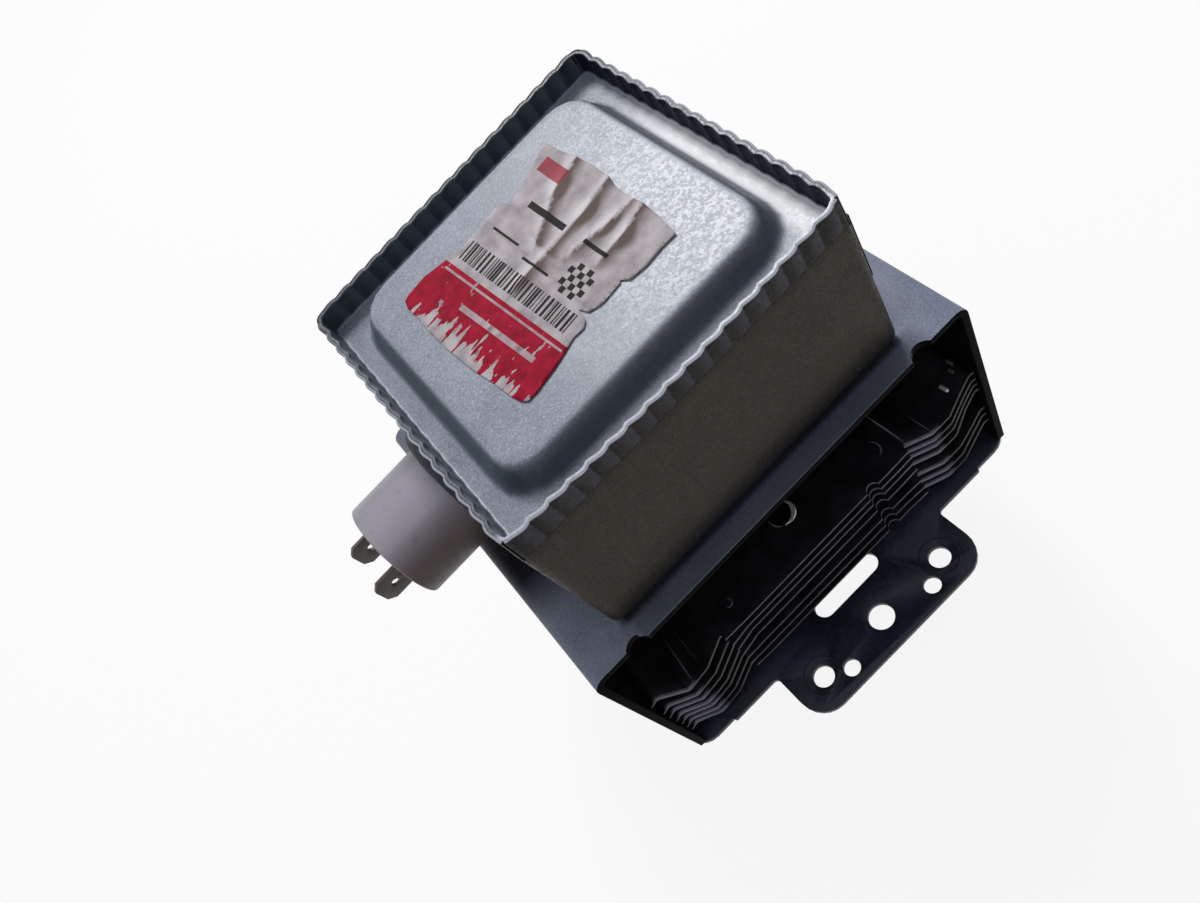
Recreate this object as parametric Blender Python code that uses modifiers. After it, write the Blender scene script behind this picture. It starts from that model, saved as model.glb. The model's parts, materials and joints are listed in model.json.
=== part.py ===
"""Microwave-oven magnetron: folded filter box, U yoke, fin stack, ring magnets, vane anode and antenna.

Metres, +Z along the tube axis towards the filter box. The origin is the centre of the mounting
flange's waveguide face. +Y and -Y are the two open ends of the fin stack, where the mounting tabs
stand out, and the connector points along -X.
"""

import math

import bmesh
import bpy
from mathutils import Matrix, Vector

MM = 0.001
FIT = 0.3 * MM  # clearance between pieces that touch on the real tube
OVERRUN = 2 * MM  # how far a cutter reaches past the faces that it cuts
EDGE_MIDDLE = 0.3  # where a rounded edge's middle point lies, as a share of the edge's size

# Mounting flange
flange_thickness = 1.5 * MM
flange_overhang_x = 1.5 * MM
flange_overhang_y = 0.1 * MM
flange_corner = 5.5 * MM
flange_shoulder = 0.6 * MM
flange_shoulder_x = 37.8 * MM
tab_half_width = 25.0 * MM
tab_reach = 14.1 * MM
tab_corner = 6.2 * MM
tab_root_fillet = 1.2 * MM
screw_hole_diameter = 5.8 * MM
screw_hole_inset = 7.0 * MM
ring_hole_diameter = 4.8 * MM
ring_hole_x = 17.6 * MM
ring_hole_inset = 6.9 * MM
pilot_hole_diameter = 3.8 * MM
pilot_hole_x = 12.1 * MM
pilot_hole_inset = 3.9 * MM
slot_length = 18.0 * MM
slot_width = 4.9 * MM
slot_inset = 2.8 * MM

# Yoke
yoke_width = 94.0 * MM
yoke_half_depth = 40.8 * MM
yoke_top = 54.8 * MM
yoke_sheet = 1.6 * MM
yoke_bend = 3.0 * MM
yoke_wall_setback = 0.5 * MM
relief_notch_x = 35.7 * MM
relief_notch_radius = 2.6 * MM
relief_notch_depth = 2.0 * MM
tongue_width = 9.0 * MM
tongue_y = 20.0 * MM
tongue_reach = 1.3 * MM

# Filter box and its lid
box_half_x = 36.0 * MM
box_half_y = 35.6 * MM
box_height = 39.8 * MM
box_sheet = 0.5 * MM
box_bend = 1.5 * MM
box_corner = 2.0 * MM
band_height = 6.1 * MM
wave_height = 0.75 * MM
waves_along_x = 17
waves_along_y = 16
wave_flank = 1 / 3  # share of a wave's length that each of its two flanks takes
corner_slit = 0.5 * MM
lap_width = 8.0 * MM
lap_height = 17.0 * MM
lap_proud = 0.6 * MM
lid_sheet = 0.5 * MM
ledge_depth = 5.0 * MM
plateau_inset_x = 8.7 * MM
plateau_inset_y = 8.3 * MM
plateau_corner = 6.0 * MM
slope_run = 4.3 * MM

# Label on the lid
label_thickness = 0.2 * MM
label_bend = 1.0 * MM
label_corners = (
    (17.7 * MM, 22.0 * MM), (17.6 * MM, -16.6 * MM), (-17.3 * MM, -19.6 * MM), (-21.5 * MM, 18.6 * MM),
)

# Feed-through capacitor
capacitor_height = 17.5 * MM
tube_radius = 10.75 * MM
tube_edge = 0.8 * MM
tube_wall = 1.6 * MM
tube_front = 2.0 * MM
tube_reach = 19.7 * MM
collar_width = 3.5 * MM
collar_reach = 3.0 * MM
collar_sheet = 0.8 * MM
collar_lip = 1.2 * MM
blade_width = 6.35 * MM
blade_thickness = 0.8 * MM
blade_spacing = 10.4 * MM
blade_reach = 7.0 * MM
blade_chamfer = 1.4 * MM
blade_hole_diameter = 1.7 * MM
blade_hole_inset = 3.7 * MM
blade_stem_width = 2.4 * MM
ceramic_inner_reach = 8.0 * MM
stem_tail = 2.6 * MM

# Chokes
choke_wire = 1.3 * MM
choke_radius = 3.4 * MM
choke_turns = 6
choke_pitch = 2.45 * MM
choke_offset_y = 7.0 * MM
choke_lead = 4.0 * MM
ferrite_radius = 2.3 * MM
ferrite_overhang = 0.8 * MM

# Tube envelope
anode_radius = 19.0 * MM
anode_wall = 2.3 * MM
anode_height = 29.2 * MM
antenna_magnet_thickness = 6.4 * MM
antenna_magnet_radius = 26.0 * MM
cathode_magnet_radius = 27.0 * MM
magnet_bore_radius = 10.1 * MM
magnet_chamfer = 1.0 * MM
cup_radius = 9.6 * MM
cup_sheet = 0.5 * MM
cup_shoulder = 1.6 * MM
cathode_cup_above_yoke = 5.2 * MM
antenna_cup_below_flange = 6.1 * MM

# Inside the anode
vane_count = 10
vane_thickness = 1.8 * MM
vane_height = 9.6 * MM
vane_tip_radius = 4.6 * MM
strap_height = 1.2 * MM
strap_radial = 0.7 * MM
inner_strap_radius = 5.4 * MM
outer_strap_radius = 6.8 * MM
pole_sheet = 1.6 * MM
pole_bore_radius = 4.8 * MM
pole_foot_radius = 11.0 * MM
pole_rise = 7.4 * MM
filament_wire = 0.6 * MM
filament_radius = 1.9 * MM
filament_turns = 5
end_hat_radius = 3.2 * MM
end_hat_thickness = 0.8 * MM
end_hat_gap = 0.4 * MM
lead_diameter = 1.4 * MM
lead_offset = 3.5 * MM
lead_above_stem = 6.0 * MM
lead_jog_inset = 2.0 * MM
stem_ceramic_height = 8.0 * MM
stem_ceramic_inset = 1.4 * MM

# Antenna
antenna_rod_diameter = 2.0 * MM
antenna_rod_x = 9.2 * MM
rod_clearance = 1.0 * MM
rod_bend_rise = 2.5 * MM
rod_bend_run = 1.6 * MM
rod_join_drop = 2.0 * MM
output_ceramic_height = 8.0 * MM
output_ceramic_wall = 2.0 * MM
exhaust_radius = 3.0 * MM
exhaust_bore_radius = 1.4 * MM
exhaust_length = 8.0 * MM
exhaust_brim = 0.5 * MM
pinch_length = 1.6 * MM
cap_radius = 7.6 * MM
cap_sheet = 0.5 * MM
cap_length = 13.2 * MM
cap_bend = 1.5 * MM
gasket_width = 2.5 * MM
gasket_height = 4.0 * MM
gasket_edge = 0.8 * MM
retainer_width = 1.4 * MM
retainer_height = 0.5 * MM

# Cooling fins
fin_sheet = 0.6 * MM
fin_setback = 0.4 * MM
fin_end_setback = 1.6 * MM
fin_step_x = 25.5 * MM
fin_hub_half = 20.5 * MM
fin_crease_x = 26.0 * MM
fin_valley_x = 32.2 * MM
fin_notch_x = 15.5 * MM
fin_notch_width = 3.0 * MM
fin_notch_depth = 0.7 * MM
fin_hole_diameter = 5.2 * MM
fin_hole_inset = 10.6 * MM
right_valley_drop = 4.9 * MM
right_rise_run = 8.1 * MM
right_knee_run = 4.1 * MM
right_knee_drop = 2.8 * MM
right_lip_run = 0.9 * MM
right_lip_drop = 0.7 * MM
left_valley_drop = 5.6 * MM
left_rise_run = 7.1 * MM
left_sag = 1.4 * MM
left_lip_run = 2.0 * MM
left_lip_drop = 1.1 * MM

# One row for each fin, from the top down: height of its hub, of its right and left creases, and of its
# right and left hooks. The real fins are bent by hand and no two are alike.
fin_heights = (
    (30.0 * MM, 30.2 * MM, 30.3 * MM, 32.1 * MM, 31.3 * MM),
    (27.3 * MM, 27.4 * MM, 25.9 * MM, 29.5 * MM, 25.3 * MM),
    (24.8 * MM, 25.0 * MM, 22.7 * MM, 27.5 * MM, 22.1 * MM),
    (21.5 * MM, 21.8 * MM, 19.3 * MM, 25.3 * MM, 18.6 * MM),
    (16.9 * MM, 16.4 * MM, 16.8 * MM, 17.2 * MM, 15.7 * MM),
    (13.6 * MM, 12.9 * MM, 13.7 * MM, 14.6 * MM, 12.8 * MM),
    (10.4 * MM, 9.9 * MM, 10.9 * MM, 11.6 * MM, 10.0 * MM),
)

# Places that follow from the sizes above
yoke_half_width = yoke_width / 2
yoke_underside = yoke_top - yoke_sheet
flange_half_x = yoke_half_width + flange_overhang_x
flange_half_y = yoke_half_depth + flange_overhang_y
flange_edge_y = flange_half_y + flange_shoulder
tab_end_y = flange_edge_y + tab_reach
box_bottom = yoke_top + FIT
rim_top = box_bottom + box_height
ledge_z = rim_top - ledge_depth
plateau_half_x = box_half_x - plateau_inset_x
plateau_half_y = box_half_y - plateau_inset_y
capacitor_z = yoke_top + capacitor_height
collar_x = -box_half_x - FIT
tube_end_x = -box_half_x - tube_reach
anode_bottom = flange_thickness + FIT + antenna_magnet_thickness + FIT + cup_sheet + FIT
anode_top = anode_bottom + anode_height
anode_middle = (anode_bottom + anode_top) / 2
anode_bore_radius = anode_radius - anode_wall
vane_bottom = anode_middle - vane_height / 2
vane_top = anode_middle + vane_height / 2
cup_brim_radius = anode_radius - FIT
cathode_cup_end = yoke_top + cathode_cup_above_yoke
antenna_cup_end = -antenna_cup_below_flange
cup_clearance_radius = cup_radius + 2 * FIT
stem_bottom = cathode_cup_end + FIT
stem_top = stem_bottom + stem_ceramic_height
terminal_y = blade_spacing / 2
ceramic_inner_x = -box_half_x + ceramic_inner_reach
ceramic_outer_x = tube_end_x + tube_front + FIT
ceramic_radius = tube_radius - tube_wall - FIT
output_ceramic_top = antenna_cup_end - FIT
output_ceramic_bottom = output_ceramic_top - output_ceramic_height
exhaust_top = output_ceramic_bottom - FIT
fin_end_x = yoke_half_width - yoke_sheet - FIT
fin_half_depth = yoke_half_depth - fin_setback
fin_end_half_depth = yoke_half_depth - fin_end_setback
fin_hole_y = fin_half_depth - fin_hole_inset


# Shared ways of making shapes

def clear_scene():
    for old in list(bpy.data.objects):
        bpy.data.objects.remove(old, do_unlink=True)


clear_scene()
parts = bpy.data.collections.new("magnetron")
cutters = bpy.data.collections.new("magnetron_cutters")
bpy.context.scene.collection.children.link(parts)
bpy.context.scene.collection.children.link(cutters)


def finish(name, colour, roughness, metallic):
    """A plain Principled material."""
    material = bpy.data.materials.new(name)
    material.use_nodes = True
    shader = material.node_tree.nodes["Principled BSDF"]
    shader.inputs["Base Color"].default_value = (*colour, 1.0)
    shader.inputs["Roughness"].default_value = roughness
    shader.inputs["Metallic"].default_value = metallic
    return material


def place(name, mesh, material):
    """Puts a mesh in the scene as one sub-part, smooth where its faces turn gently."""
    mesh.shade_smooth()
    mesh.set_sharp_from_angle(angle=math.radians(32))
    piece = bpy.data.objects.new(name, mesh)
    piece.data.materials.append(material)
    parts.objects.link(piece)
    return piece


def hide_as_cutter(cutter):
    cutter.display_type = "WIRE"
    cutter.hide_render = True
    for home in list(cutter.users_collection):
        home.objects.unlink(cutter)
    cutters.objects.link(cutter)
    return cutter


def mesh_from(name, build):
    """A mesh filled by a function that adds to an empty bmesh."""
    shape = bmesh.new()
    build(shape)
    bmesh.ops.recalc_face_normals(shape, faces=shape.faces)
    mesh = bpy.data.meshes.new(name)
    shape.to_mesh(mesh)
    shape.free()
    return mesh


def add_box(shape, low, high):
    low, high = Vector(low), Vector(high)
    sizes = Matrix.Diagonal((*(high - low), 1.0))
    bmesh.ops.create_cube(shape, size=1.0, matrix=Matrix.Translation((low + high) / 2) @ sizes)


def add_rod(shape, centre, radius, low, high, axis="Z", segments=24):
    """A cylinder along one axis, from low to high, through centre in the other two."""
    turn = {"Z": Matrix.Identity(4), "X": Matrix.Rotation(math.pi / 2, 4, "Y")}[axis]
    middle = (low + high) / 2
    spot = (*centre, middle) if axis == "Z" else (middle, *centre)
    bmesh.ops.create_cone(shape, cap_ends=True, segments=segments, radius1=radius, radius2=radius,
                          depth=high - low, matrix=Matrix.Translation(spot) @ turn)


def cutter_of(name, build):
    return hide_as_cutter(place(name, mesh_from(name, build), steel))


def cut(piece, cutter, operation="DIFFERENCE"):
    boolean = piece.modifiers.new(cutter.name, "BOOLEAN")
    boolean.operation = operation
    boolean.solver = "EXACT"
    boolean.object = cutter


def turned(name, profile, material, segments=24, axis="Z"):
    """A turned piece: the profile holds (radius, height) points and runs down its outer side."""
    closed = profile[0][0] > 0
    mesh = bpy.data.meshes.new(name)
    count = len(profile)
    edges = [(i, (i + 1) % count) for i in range(count if closed else count - 1)]
    mesh.from_pydata([(radius, 0, height) for radius, height in profile], edges, [])
    piece = bpy.data.objects.new(name, mesh)
    piece.data.materials.append(material)
    parts.objects.link(piece)
    screw = piece.modifiers.new("turn", "SCREW")
    screw.steps = segments
    screw.render_steps = segments
    screw.use_merge_vertices = True
    screw.merge_threshold = 0.00001
    screw.use_smooth_shade = True
    if axis == "X":
        piece.rotation_euler = (0, -math.pi / 2, 0)
    return piece


def ring(low, high, inner, outer):
    """Profile of a plain ring, for turned()."""
    return [(outer, high), (outer, low), (inner, low), (inner, high)]


def rounded(corners, steps=4):
    """A closed outline from (x, y, radius) corners, each corner an arc of the given radius."""
    outline = []
    count = len(corners)
    for i, (x, y, radius) in enumerate(corners):
        here = Vector((x, y))
        back = (Vector(corners[i - 1][:2]) - here).normalized()
        ahead = (Vector(corners[(i + 1) % count][:2]) - here).normalized()
        if radius <= 0:
            outline.append(here)
            continue
        half = back.angle(ahead) / 2
        centre = here + (back + ahead).normalized() * (radius / math.sin(half))
        start = here + back * (radius / math.tan(half)) - centre
        sweep = (math.pi - 2 * half) * (1 if back.cross(ahead) < 0 else -1)
        for step in range(steps + 1):
            outline.append(centre + Matrix.Rotation(sweep * step / steps, 2) @ start)
    return outline


def circle(x, y, radius, steps=12):
    angles = [2 * math.pi * i / steps for i in range(steps)]
    return [Vector((x + radius * math.cos(a), y + radius * math.sin(a))) for a in angles]


def stadium(y, length, width, steps=5):
    """A slot along X with half-round ends, centred on x = 0."""
    reach = (length - width) / 2
    points = []
    for way in (1, -1):
        for step in range(steps + 1):
            angle = math.pi * (step / steps - 0.5)
            points.append(Vector((way * (reach + math.cos(angle) * width / 2),
                                  y + way * math.sin(angle) * width / 2)))
    return points


def stamped(name, outlines, low, high, material):
    """A flat stamping: the first outline is its edge, the others are its holes."""
    curve = bpy.data.curves.new(name, "CURVE")
    curve.dimensions = "2D"
    curve.fill_mode = "BOTH"
    curve.extrude = (high - low) / 2
    for outline in outlines:
        spline = curve.splines.new("POLY")
        spline.points.add(len(outline) - 1)
        spline.use_cyclic_u = True
        for point, (x, y) in zip(spline.points, outline):
            point.co = (x, y, 0, 1)
    piece = bpy.data.objects.new(name, curve)
    piece.data.materials.append(material)
    piece.location.z = (low + high) / 2
    parts.objects.link(piece)
    return piece


def wire(name, path, diameter, material, resolution=2):
    """A round wire through a list of points."""
    curve = bpy.data.curves.new(name, "CURVE")
    curve.dimensions = "3D"
    curve.bevel_depth = diameter / 2
    curve.bevel_resolution = resolution
    curve.use_fill_caps = True
    spline = curve.splines.new("POLY")
    spline.points.add(len(path) - 1)
    for point, spot in zip(spline.points, path):
        point.co = (*spot, 1)
    piece = bpy.data.objects.new(name, curve)
    piece.data.materials.append(material)
    parts.objects.link(piece)
    return piece


def folded(name, profile, half_depth, thickness, side, material):
    """A folded sheet: an (x, z) profile drawn out along Y, then thickened on one side or both."""
    def build(shape):
        rows = [[shape.verts.new((x, y, z)) for x, z in profile] for y in (-half_depth, half_depth)]
        for i in range(len(profile) - 1):
            shape.faces.new((rows[0][i], rows[0][i + 1], rows[1][i + 1], rows[1][i]))
    mesh = mesh_from(name, build)
    if sum(face.normal.z * face.area for face in mesh.polygons) < 0:
        mesh.flip_normals()
    piece = place(name, mesh, material)
    solidify = piece.modifiers.new("sheet", "SOLIDIFY")
    solidify.thickness = thickness
    solidify.offset = side
    solidify.use_even_offset = True
    return piece


# Finishes
steel = finish("zinc plated steel", (0.55, 0.57, 0.60), 0.38, 0.9)
dark_steel = finish("shaded zinc steel", (0.16, 0.17, 0.20), 0.42, 0.9)
aluminium = finish("fin aluminium", (0.50, 0.49, 0.51), 0.35, 1.0)
ferrite = finish("ferrite", (0.05, 0.05, 0.055), 0.6, 0.0)
copper = finish("copper", (0.72, 0.36, 0.22), 0.3, 1.0)
enamel = finish("enamelled wire", (0.45, 0.16, 0.07), 0.3, 0.6)
ceramic = finish("white ceramic", (0.85, 0.83, 0.80), 0.45, 0.0)
plastic = finish("pale lavender plastic", (0.62, 0.60, 0.66), 0.5, 0.0)
tin = finish("tinned brass", (0.52, 0.49, 0.44), 0.35, 0.9)
tungsten = finish("tungsten", (0.35, 0.34, 0.33), 0.4, 1.0)
mesh_steel = finish("knitted steel mesh", (0.45, 0.45, 0.46), 0.55, 0.9)
paper = finish("label paper", (0.66, 0.62, 0.62), 0.7, 0.0)


# Mounting flange: one stamping with a tab at each open end

def flange_outline():
    half = [
        (-flange_half_x, -flange_half_y, flange_corner),
        (-flange_shoulder_x, -flange_half_y, 0.0),
        (-flange_shoulder_x + flange_shoulder, -flange_edge_y, 0.0),
        (-tab_half_width, -flange_edge_y, tab_root_fillet),
        (-tab_half_width, -tab_end_y, tab_corner),
        (tab_half_width, -tab_end_y, tab_corner),
        (tab_half_width, -flange_edge_y, tab_root_fillet),
        (flange_shoulder_x - flange_shoulder, -flange_edge_y, 0.0),
        (flange_shoulder_x, -flange_half_y, 0.0),
        (flange_half_x, -flange_half_y, flange_corner),
    ]
    return rounded(half + [(-x, -y, radius) for x, y, radius in half])


def tab_holes(side):
    """Holes of the tab at y < 0 for side -1, and of its mirror for side 1."""
    holes = [circle(0, side * (tab_end_y - screw_hole_inset), screw_hole_diameter / 2)]
    for x in (-1, 1):
        holes.append(circle(x * ring_hole_x, side * (tab_end_y - ring_hole_inset), ring_hole_diameter / 2))
        holes.append(circle(x * pilot_hole_x, side * (tab_end_y - pilot_hole_inset), pilot_hole_diameter / 2))
    holes.append(stadium(side * (flange_half_y - slot_inset), slot_length, slot_width))
    return holes


def tongue_slots():
    """Slots that the yoke's tongues stand in."""
    inner = yoke_half_width - yoke_sheet - FIT
    outer = yoke_half_width + FIT
    half = tongue_width / 2 + FIT
    slots = []
    for x_side in (-1, 1):
        for y_side in (-1, 1):
            x0, x1 = x_side * inner, x_side * outer
            y0, y1 = y_side * tongue_y - half, y_side * tongue_y + half
            slots.append([Vector(p) for p in ((x0, y0), (x1, y0), (x1, y1), (x0, y1))])
    return slots


stamped(
    "mounting_flange",
    [flange_outline(), circle(0, 0, cup_clearance_radius, 32)] + tab_holes(-1) + tab_holes(1) + tongue_slots(),
    0.0, flange_thickness, dark_steel)


# Yoke: a steel strip folded into a U, with tongues that are staked into the flange

def yoke_profile():
    wall_end = flange_thickness + FIT - tongue_reach
    left = rounded([
        (-yoke_half_width, wall_end, 0.0),
        (-yoke_half_width, yoke_top, yoke_bend),
        (0.0, yoke_top, 0.0),
    ])
    return [tuple(p) for p in left[:-1]] + [(-x, z) for x, z in reversed(left[:-1])]


def yoke_cuts(shape):
    beyond = 2 * yoke_half_depth
    add_rod(shape, (0, 0), cup_clearance_radius, yoke_underside - MM, yoke_top + MM, segments=32)
    for x_side in (-1, 1):
        for y_side in (-1, 1):
            centre = (x_side * relief_notch_x,
                      y_side * (yoke_half_depth + relief_notch_radius - relief_notch_depth))
            add_rod(shape, centre, relief_notch_radius, yoke_underside - MM, yoke_top + MM, segments=20)
        wall = sorted((x_side * (yoke_half_width - yoke_bend - MM), x_side * (yoke_half_width + MM)))
        foot = flange_thickness + FIT
        gap = tongue_y - tongue_width / 2
        add_box(shape, (wall[0], -gap, -MM), (wall[1], gap, foot))
        for y_side in (-1, 1):
            span = sorted((y_side * (tongue_y + tongue_width / 2), y_side * beyond))
            add_box(shape, (wall[0], span[0], -MM), (wall[1], span[1], foot))


def yoke_setbacks(shape):
    """The walls stand a little behind the top plate's edge, beyond the relief notches."""
    for x_side in (-1, 1):
        for y_side in (-1, 1):
            across = sorted((x_side * relief_notch_x, x_side * (yoke_half_width + MM)))
            along = sorted((y_side * (yoke_half_depth - yoke_wall_setback), y_side * (yoke_half_depth + MM)))
            add_box(shape, (across[0], along[0], -OVERRUN), (across[1], along[1], yoke_top + OVERRUN))


yoke = folded("yoke", yoke_profile(), yoke_half_depth, yoke_sheet, -1, steel)
cut(yoke, cutter_of("yoke_cuts", yoke_cuts))
cut(yoke, cutter_of("yoke_setbacks", yoke_setbacks))


# Filter box and lid: drawn walls, crimped together by one corrugated band

def side_ends(inset):
    """Start and end of each straight side, counter-clockwise, for an outline inset from the box."""
    half_x, half_y = box_half_x - inset, box_half_y - inset
    end_x, end_y = box_half_x - box_corner, box_half_y - box_corner
    return (
        ((half_x, -end_y), (half_x, end_y), (1, 0), waves_along_y),
        ((end_x, half_y), (-end_x, half_y), (0, 1), waves_along_x),
        ((-half_x, end_y), (-half_x, -end_y), (-1, 0), waves_along_y),
        ((-end_x, -half_y), (end_x, -half_y), (0, -1), waves_along_x),
    )


def point_along(start, end, out, along, offset, z):
    """A point at a share of a side's length, moved outwards by an offset."""
    return (start[0] + (end[0] - start[0]) * along + out[0] * offset,
            start[1] + (end[1] - start[1]) * along + out[1] * offset, z)


def rim_loop(inset):
    """The corrugated wall's outline at the rim: flat-crowned lobes that meet in inward cusps."""
    lobe = ((0.0, -wave_height / 2), (wave_flank, wave_height / 2), (1 - wave_flank, wave_height / 2))
    loop = []
    for start, end, out, waves in side_ends(inset):
        for wave in range(waves):
            for share, offset in lobe:
                loop.append(point_along(start, end, out, (wave + share) / waves, offset, rim_top))
        loop.append(point_along(start, end, out, 1.0, lobe[0][1], rim_top))
    return loop


def foot_loop(inset, z):
    """The straight outline that the lobes run out to, with a point under each cusp."""
    return [point_along(start, end, out, wave / waves, 0.0, z)
            for start, end, out, waves in side_ends(inset) for wave in range(waves + 1)]


def plain_loop(inset, z):
    """The box's outline at one height below the band, with only its eight corner points."""
    return [(*point, z) for start, end, *_ in side_ends(inset) for point in (start, end)]


def verts_of(shape, loop):
    return [shape.verts.new(point) for point in loop]


def bridge(shape, first, second):
    """Quads between two loops with as many points."""
    count = len(first)
    for i in range(count):
        j = (i + 1) % count
        shape.faces.new((first[i], first[j], second[j], second[i]))


def bridge_waves(shape, rim, foot):
    """The faces of the lobes between the rim and the straight foot: a flat crown and two flanks each."""
    rim_at = foot_at = 0
    for *_, waves in side_ends(0.0):
        for wave in range(waves):
            cusp, crown_start, crown_end, next_cusp = rim[rim_at:rim_at + 4]
            left, right = foot[foot_at:foot_at + 2]
            shape.faces.new((cusp, crown_start, left))
            shape.faces.new((crown_start, crown_end, right, left))
            shape.faces.new((crown_end, next_cusp, right))
            rim_at += 3
            foot_at += 1
        ahead = ((rim_at + 1) % len(rim), (foot_at + 1) % len(foot))
        shape.faces.new((rim[rim_at], rim[ahead[0]], foot[ahead[1]], foot[foot_at]))
        rim_at += 1
        foot_at += 1


def bridge_to_plain(shape, loop, plain):
    """Fans between the band's foot and the eight corner points below it."""
    side_start = 0
    for side, waves in enumerate((waves_along_y, waves_along_x) * 2):
        first, last = plain[2 * side], plain[2 * side + 1]
        for wave in range(waves):
            a, b = loop[side_start + wave], loop[side_start + wave + 1]
            shape.faces.new((a, b, first if wave < waves // 2 else last))
        shape.faces.new((loop[side_start + waves // 2], last, first))
        ahead = (side_start + waves + 1) % len(loop)
        shape.faces.new((loop[side_start + waves], loop[ahead], plain[(2 * side + 2) % 8], last))
        side_start += waves + 1


def ring_edges(shape, loop):
    return [shape.edges.get((loop[i - 1], loop[i])) for i in range(len(loop))]


def fill_between(shape, outer, inner):
    """Flat faces between two loops at one height."""
    edges = ring_edges(shape, outer) + ring_edges(shape, inner)
    bmesh.ops.triangle_fill(shape, use_beauty=True, use_dissolve=False, edges=edges)


def box_shell(shape):
    """The box's outer and inner faces, joined at the rim."""
    skins = []
    for inset in (0.0, box_sheet):
        floor = box_bottom + inset
        bend = box_bend - inset
        rim = verts_of(shape, rim_loop(inset))
        above = verts_of(shape, foot_loop(inset, rim_top - band_height))
        bridge_waves(shape, rim, above)
        for step in range(3):
            angle = step * math.pi / 4
            pull = inset + bend * (1 - math.cos(angle))
            height = floor + bend * (1 - math.sin(angle))
            foot = verts_of(shape, plain_loop(pull, height))
            if step == 0:
                bridge_to_plain(shape, above, foot)
            else:
                bridge(shape, above, foot)
            above = foot
        shape.faces.new(above)
        skins.append(rim)
    bridge(shape, skins[0], skins[1])


def box_holes(shape):
    """Holes for the cathode stem and the capacitor, and a slit down each corner of the band."""
    floor = (box_bottom - OVERRUN, box_bottom + box_sheet + OVERRUN)
    wall = (-box_half_x - OVERRUN, -box_half_x + box_sheet + OVERRUN)
    add_rod(shape, (0, 0), cup_clearance_radius, *floor, segments=32)
    add_rod(shape, (0, capacitor_z), ceramic_radius + FIT, *wall, "X", 28)
    for x_side in (-1, 1):
        for y_side in (-1, 1):
            corner = Vector((x_side * box_half_x, y_side * box_half_y, rim_top))
            turn = Matrix.Rotation(math.radians(45) * x_side * y_side, 4, "Z")
            size = Matrix.Diagonal((4 * box_corner, corner_slit, 2 * band_height, 1.0))
            bmesh.ops.create_cube(shape, size=1.0, matrix=Matrix.Translation(corner) @ turn @ size)


def box_lap(shape):
    """The lap where the folded wall closes on itself, on the +X side."""
    top = rim_top - band_height
    front = -box_half_y + box_corner
    add_box(shape, (box_half_x - box_sheet / 2, front, top - lap_height),
            (box_half_x + lap_proud, front + lap_width, top - MM / 2))


filter_box = place("filter_box", mesh_from("filter_box", box_shell), steel)
cut(filter_box, cutter_of("box_lap", box_lap), "UNION")
cut(filter_box, cutter_of("box_holes", box_holes))


def plateau_loop(shape, grow, z):
    """The plateau's rounded outline, grown outwards. Its corners keep their arc centres."""
    half_x, half_y, radius = plateau_half_x + grow, plateau_half_y + grow, plateau_corner + grow
    corners = ((half_x, -half_y), (half_x, half_y), (-half_x, half_y), (-half_x, -half_y))
    return [shape.verts.new((x, y, z)) for x, y in rounded([(*corner, radius) for corner in corners])]


def lid_shell(shape):
    """A pan whose wall lines the band, with a raised plateau inside a ledge."""
    outside = box_sheet + FIT
    inside = outside + lid_sheet
    rims, edges = [], []
    for inset, floor in ((outside, ledge_z - lid_sheet), (inside, ledge_z)):
        rims.append(verts_of(shape, rim_loop(inset)))
        edges.append(verts_of(shape, foot_loop(inset, floor)))
        bridge_waves(shape, rims[-1], edges[-1])
    bridge(shape, rims[0], rims[1])
    # share of the slope's run and of its height, from the ledge to the plateau
    slope = ((0.0, 0.0), (0.26, 0.14), (0.76, 0.86), (1.0, 1.0))
    for drop, inset, edge in ((lid_sheet, 0.7 * lid_sheet, edges[0]), (0.0, 0.0, edges[1])):
        above = None
        for run, rise in slope:
            here = plateau_loop(shape, slope_run * (1 - run) - inset, ledge_z + ledge_depth * rise - drop)
            if above:
                bridge(shape, above, here)
            else:
                start = here
            above = here
        shape.faces.new(above)
        fill_between(shape, edge, start)


place("filter_box_lid", mesh_from("filter_box_lid", lid_shell), steel)

stamped("label", [rounded([(x, y, label_bend) for x, y in reversed(label_corners)], 3)],
        rim_top + FIT, rim_top + FIT + label_thickness, paper)


# Feed-through capacitor on the -X wall, with its two blades

def along_x(profile):
    """A profile given as (radius, x), for a piece turned about the capacitor's axis."""
    return [(radius, -x) for radius, x in profile]


def turned_along_x(name, profile, material, segments=30):
    piece = turned(name, along_x(profile), material, segments, "X")
    piece.location.z = capacitor_z
    return piece


collar_outer = tube_radius + collar_width
collar_inner = tube_radius + FIT
collar_face = collar_x - collar_reach
turned_along_x("capacitor_collar", [
    (collar_inner, collar_face), (collar_outer - collar_lip, collar_face),
    (collar_outer - EDGE_MIDDLE * collar_lip, collar_face + EDGE_MIDDLE * collar_lip),
    (collar_outer, collar_face + collar_lip), (collar_outer, collar_x),
    (collar_outer - collar_sheet, collar_x), (collar_outer - collar_sheet, collar_face + collar_lip),
    (collar_outer - collar_lip, collar_face + collar_sheet), (collar_inner, collar_face + collar_sheet),
], steel)

capacitor_tube = turned_along_x("capacitor_tube", [
    (0.0, tube_end_x), (tube_radius - tube_edge, tube_end_x),
    (tube_radius - EDGE_MIDDLE * tube_edge, tube_end_x + EDGE_MIDDLE * tube_edge),
    (tube_radius, tube_end_x + tube_edge), (tube_radius, collar_x),
    (tube_radius - tube_wall, collar_x), (tube_radius - tube_wall, tube_end_x + tube_front),
    (0.0, tube_end_x + tube_front),
], plastic)

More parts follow.
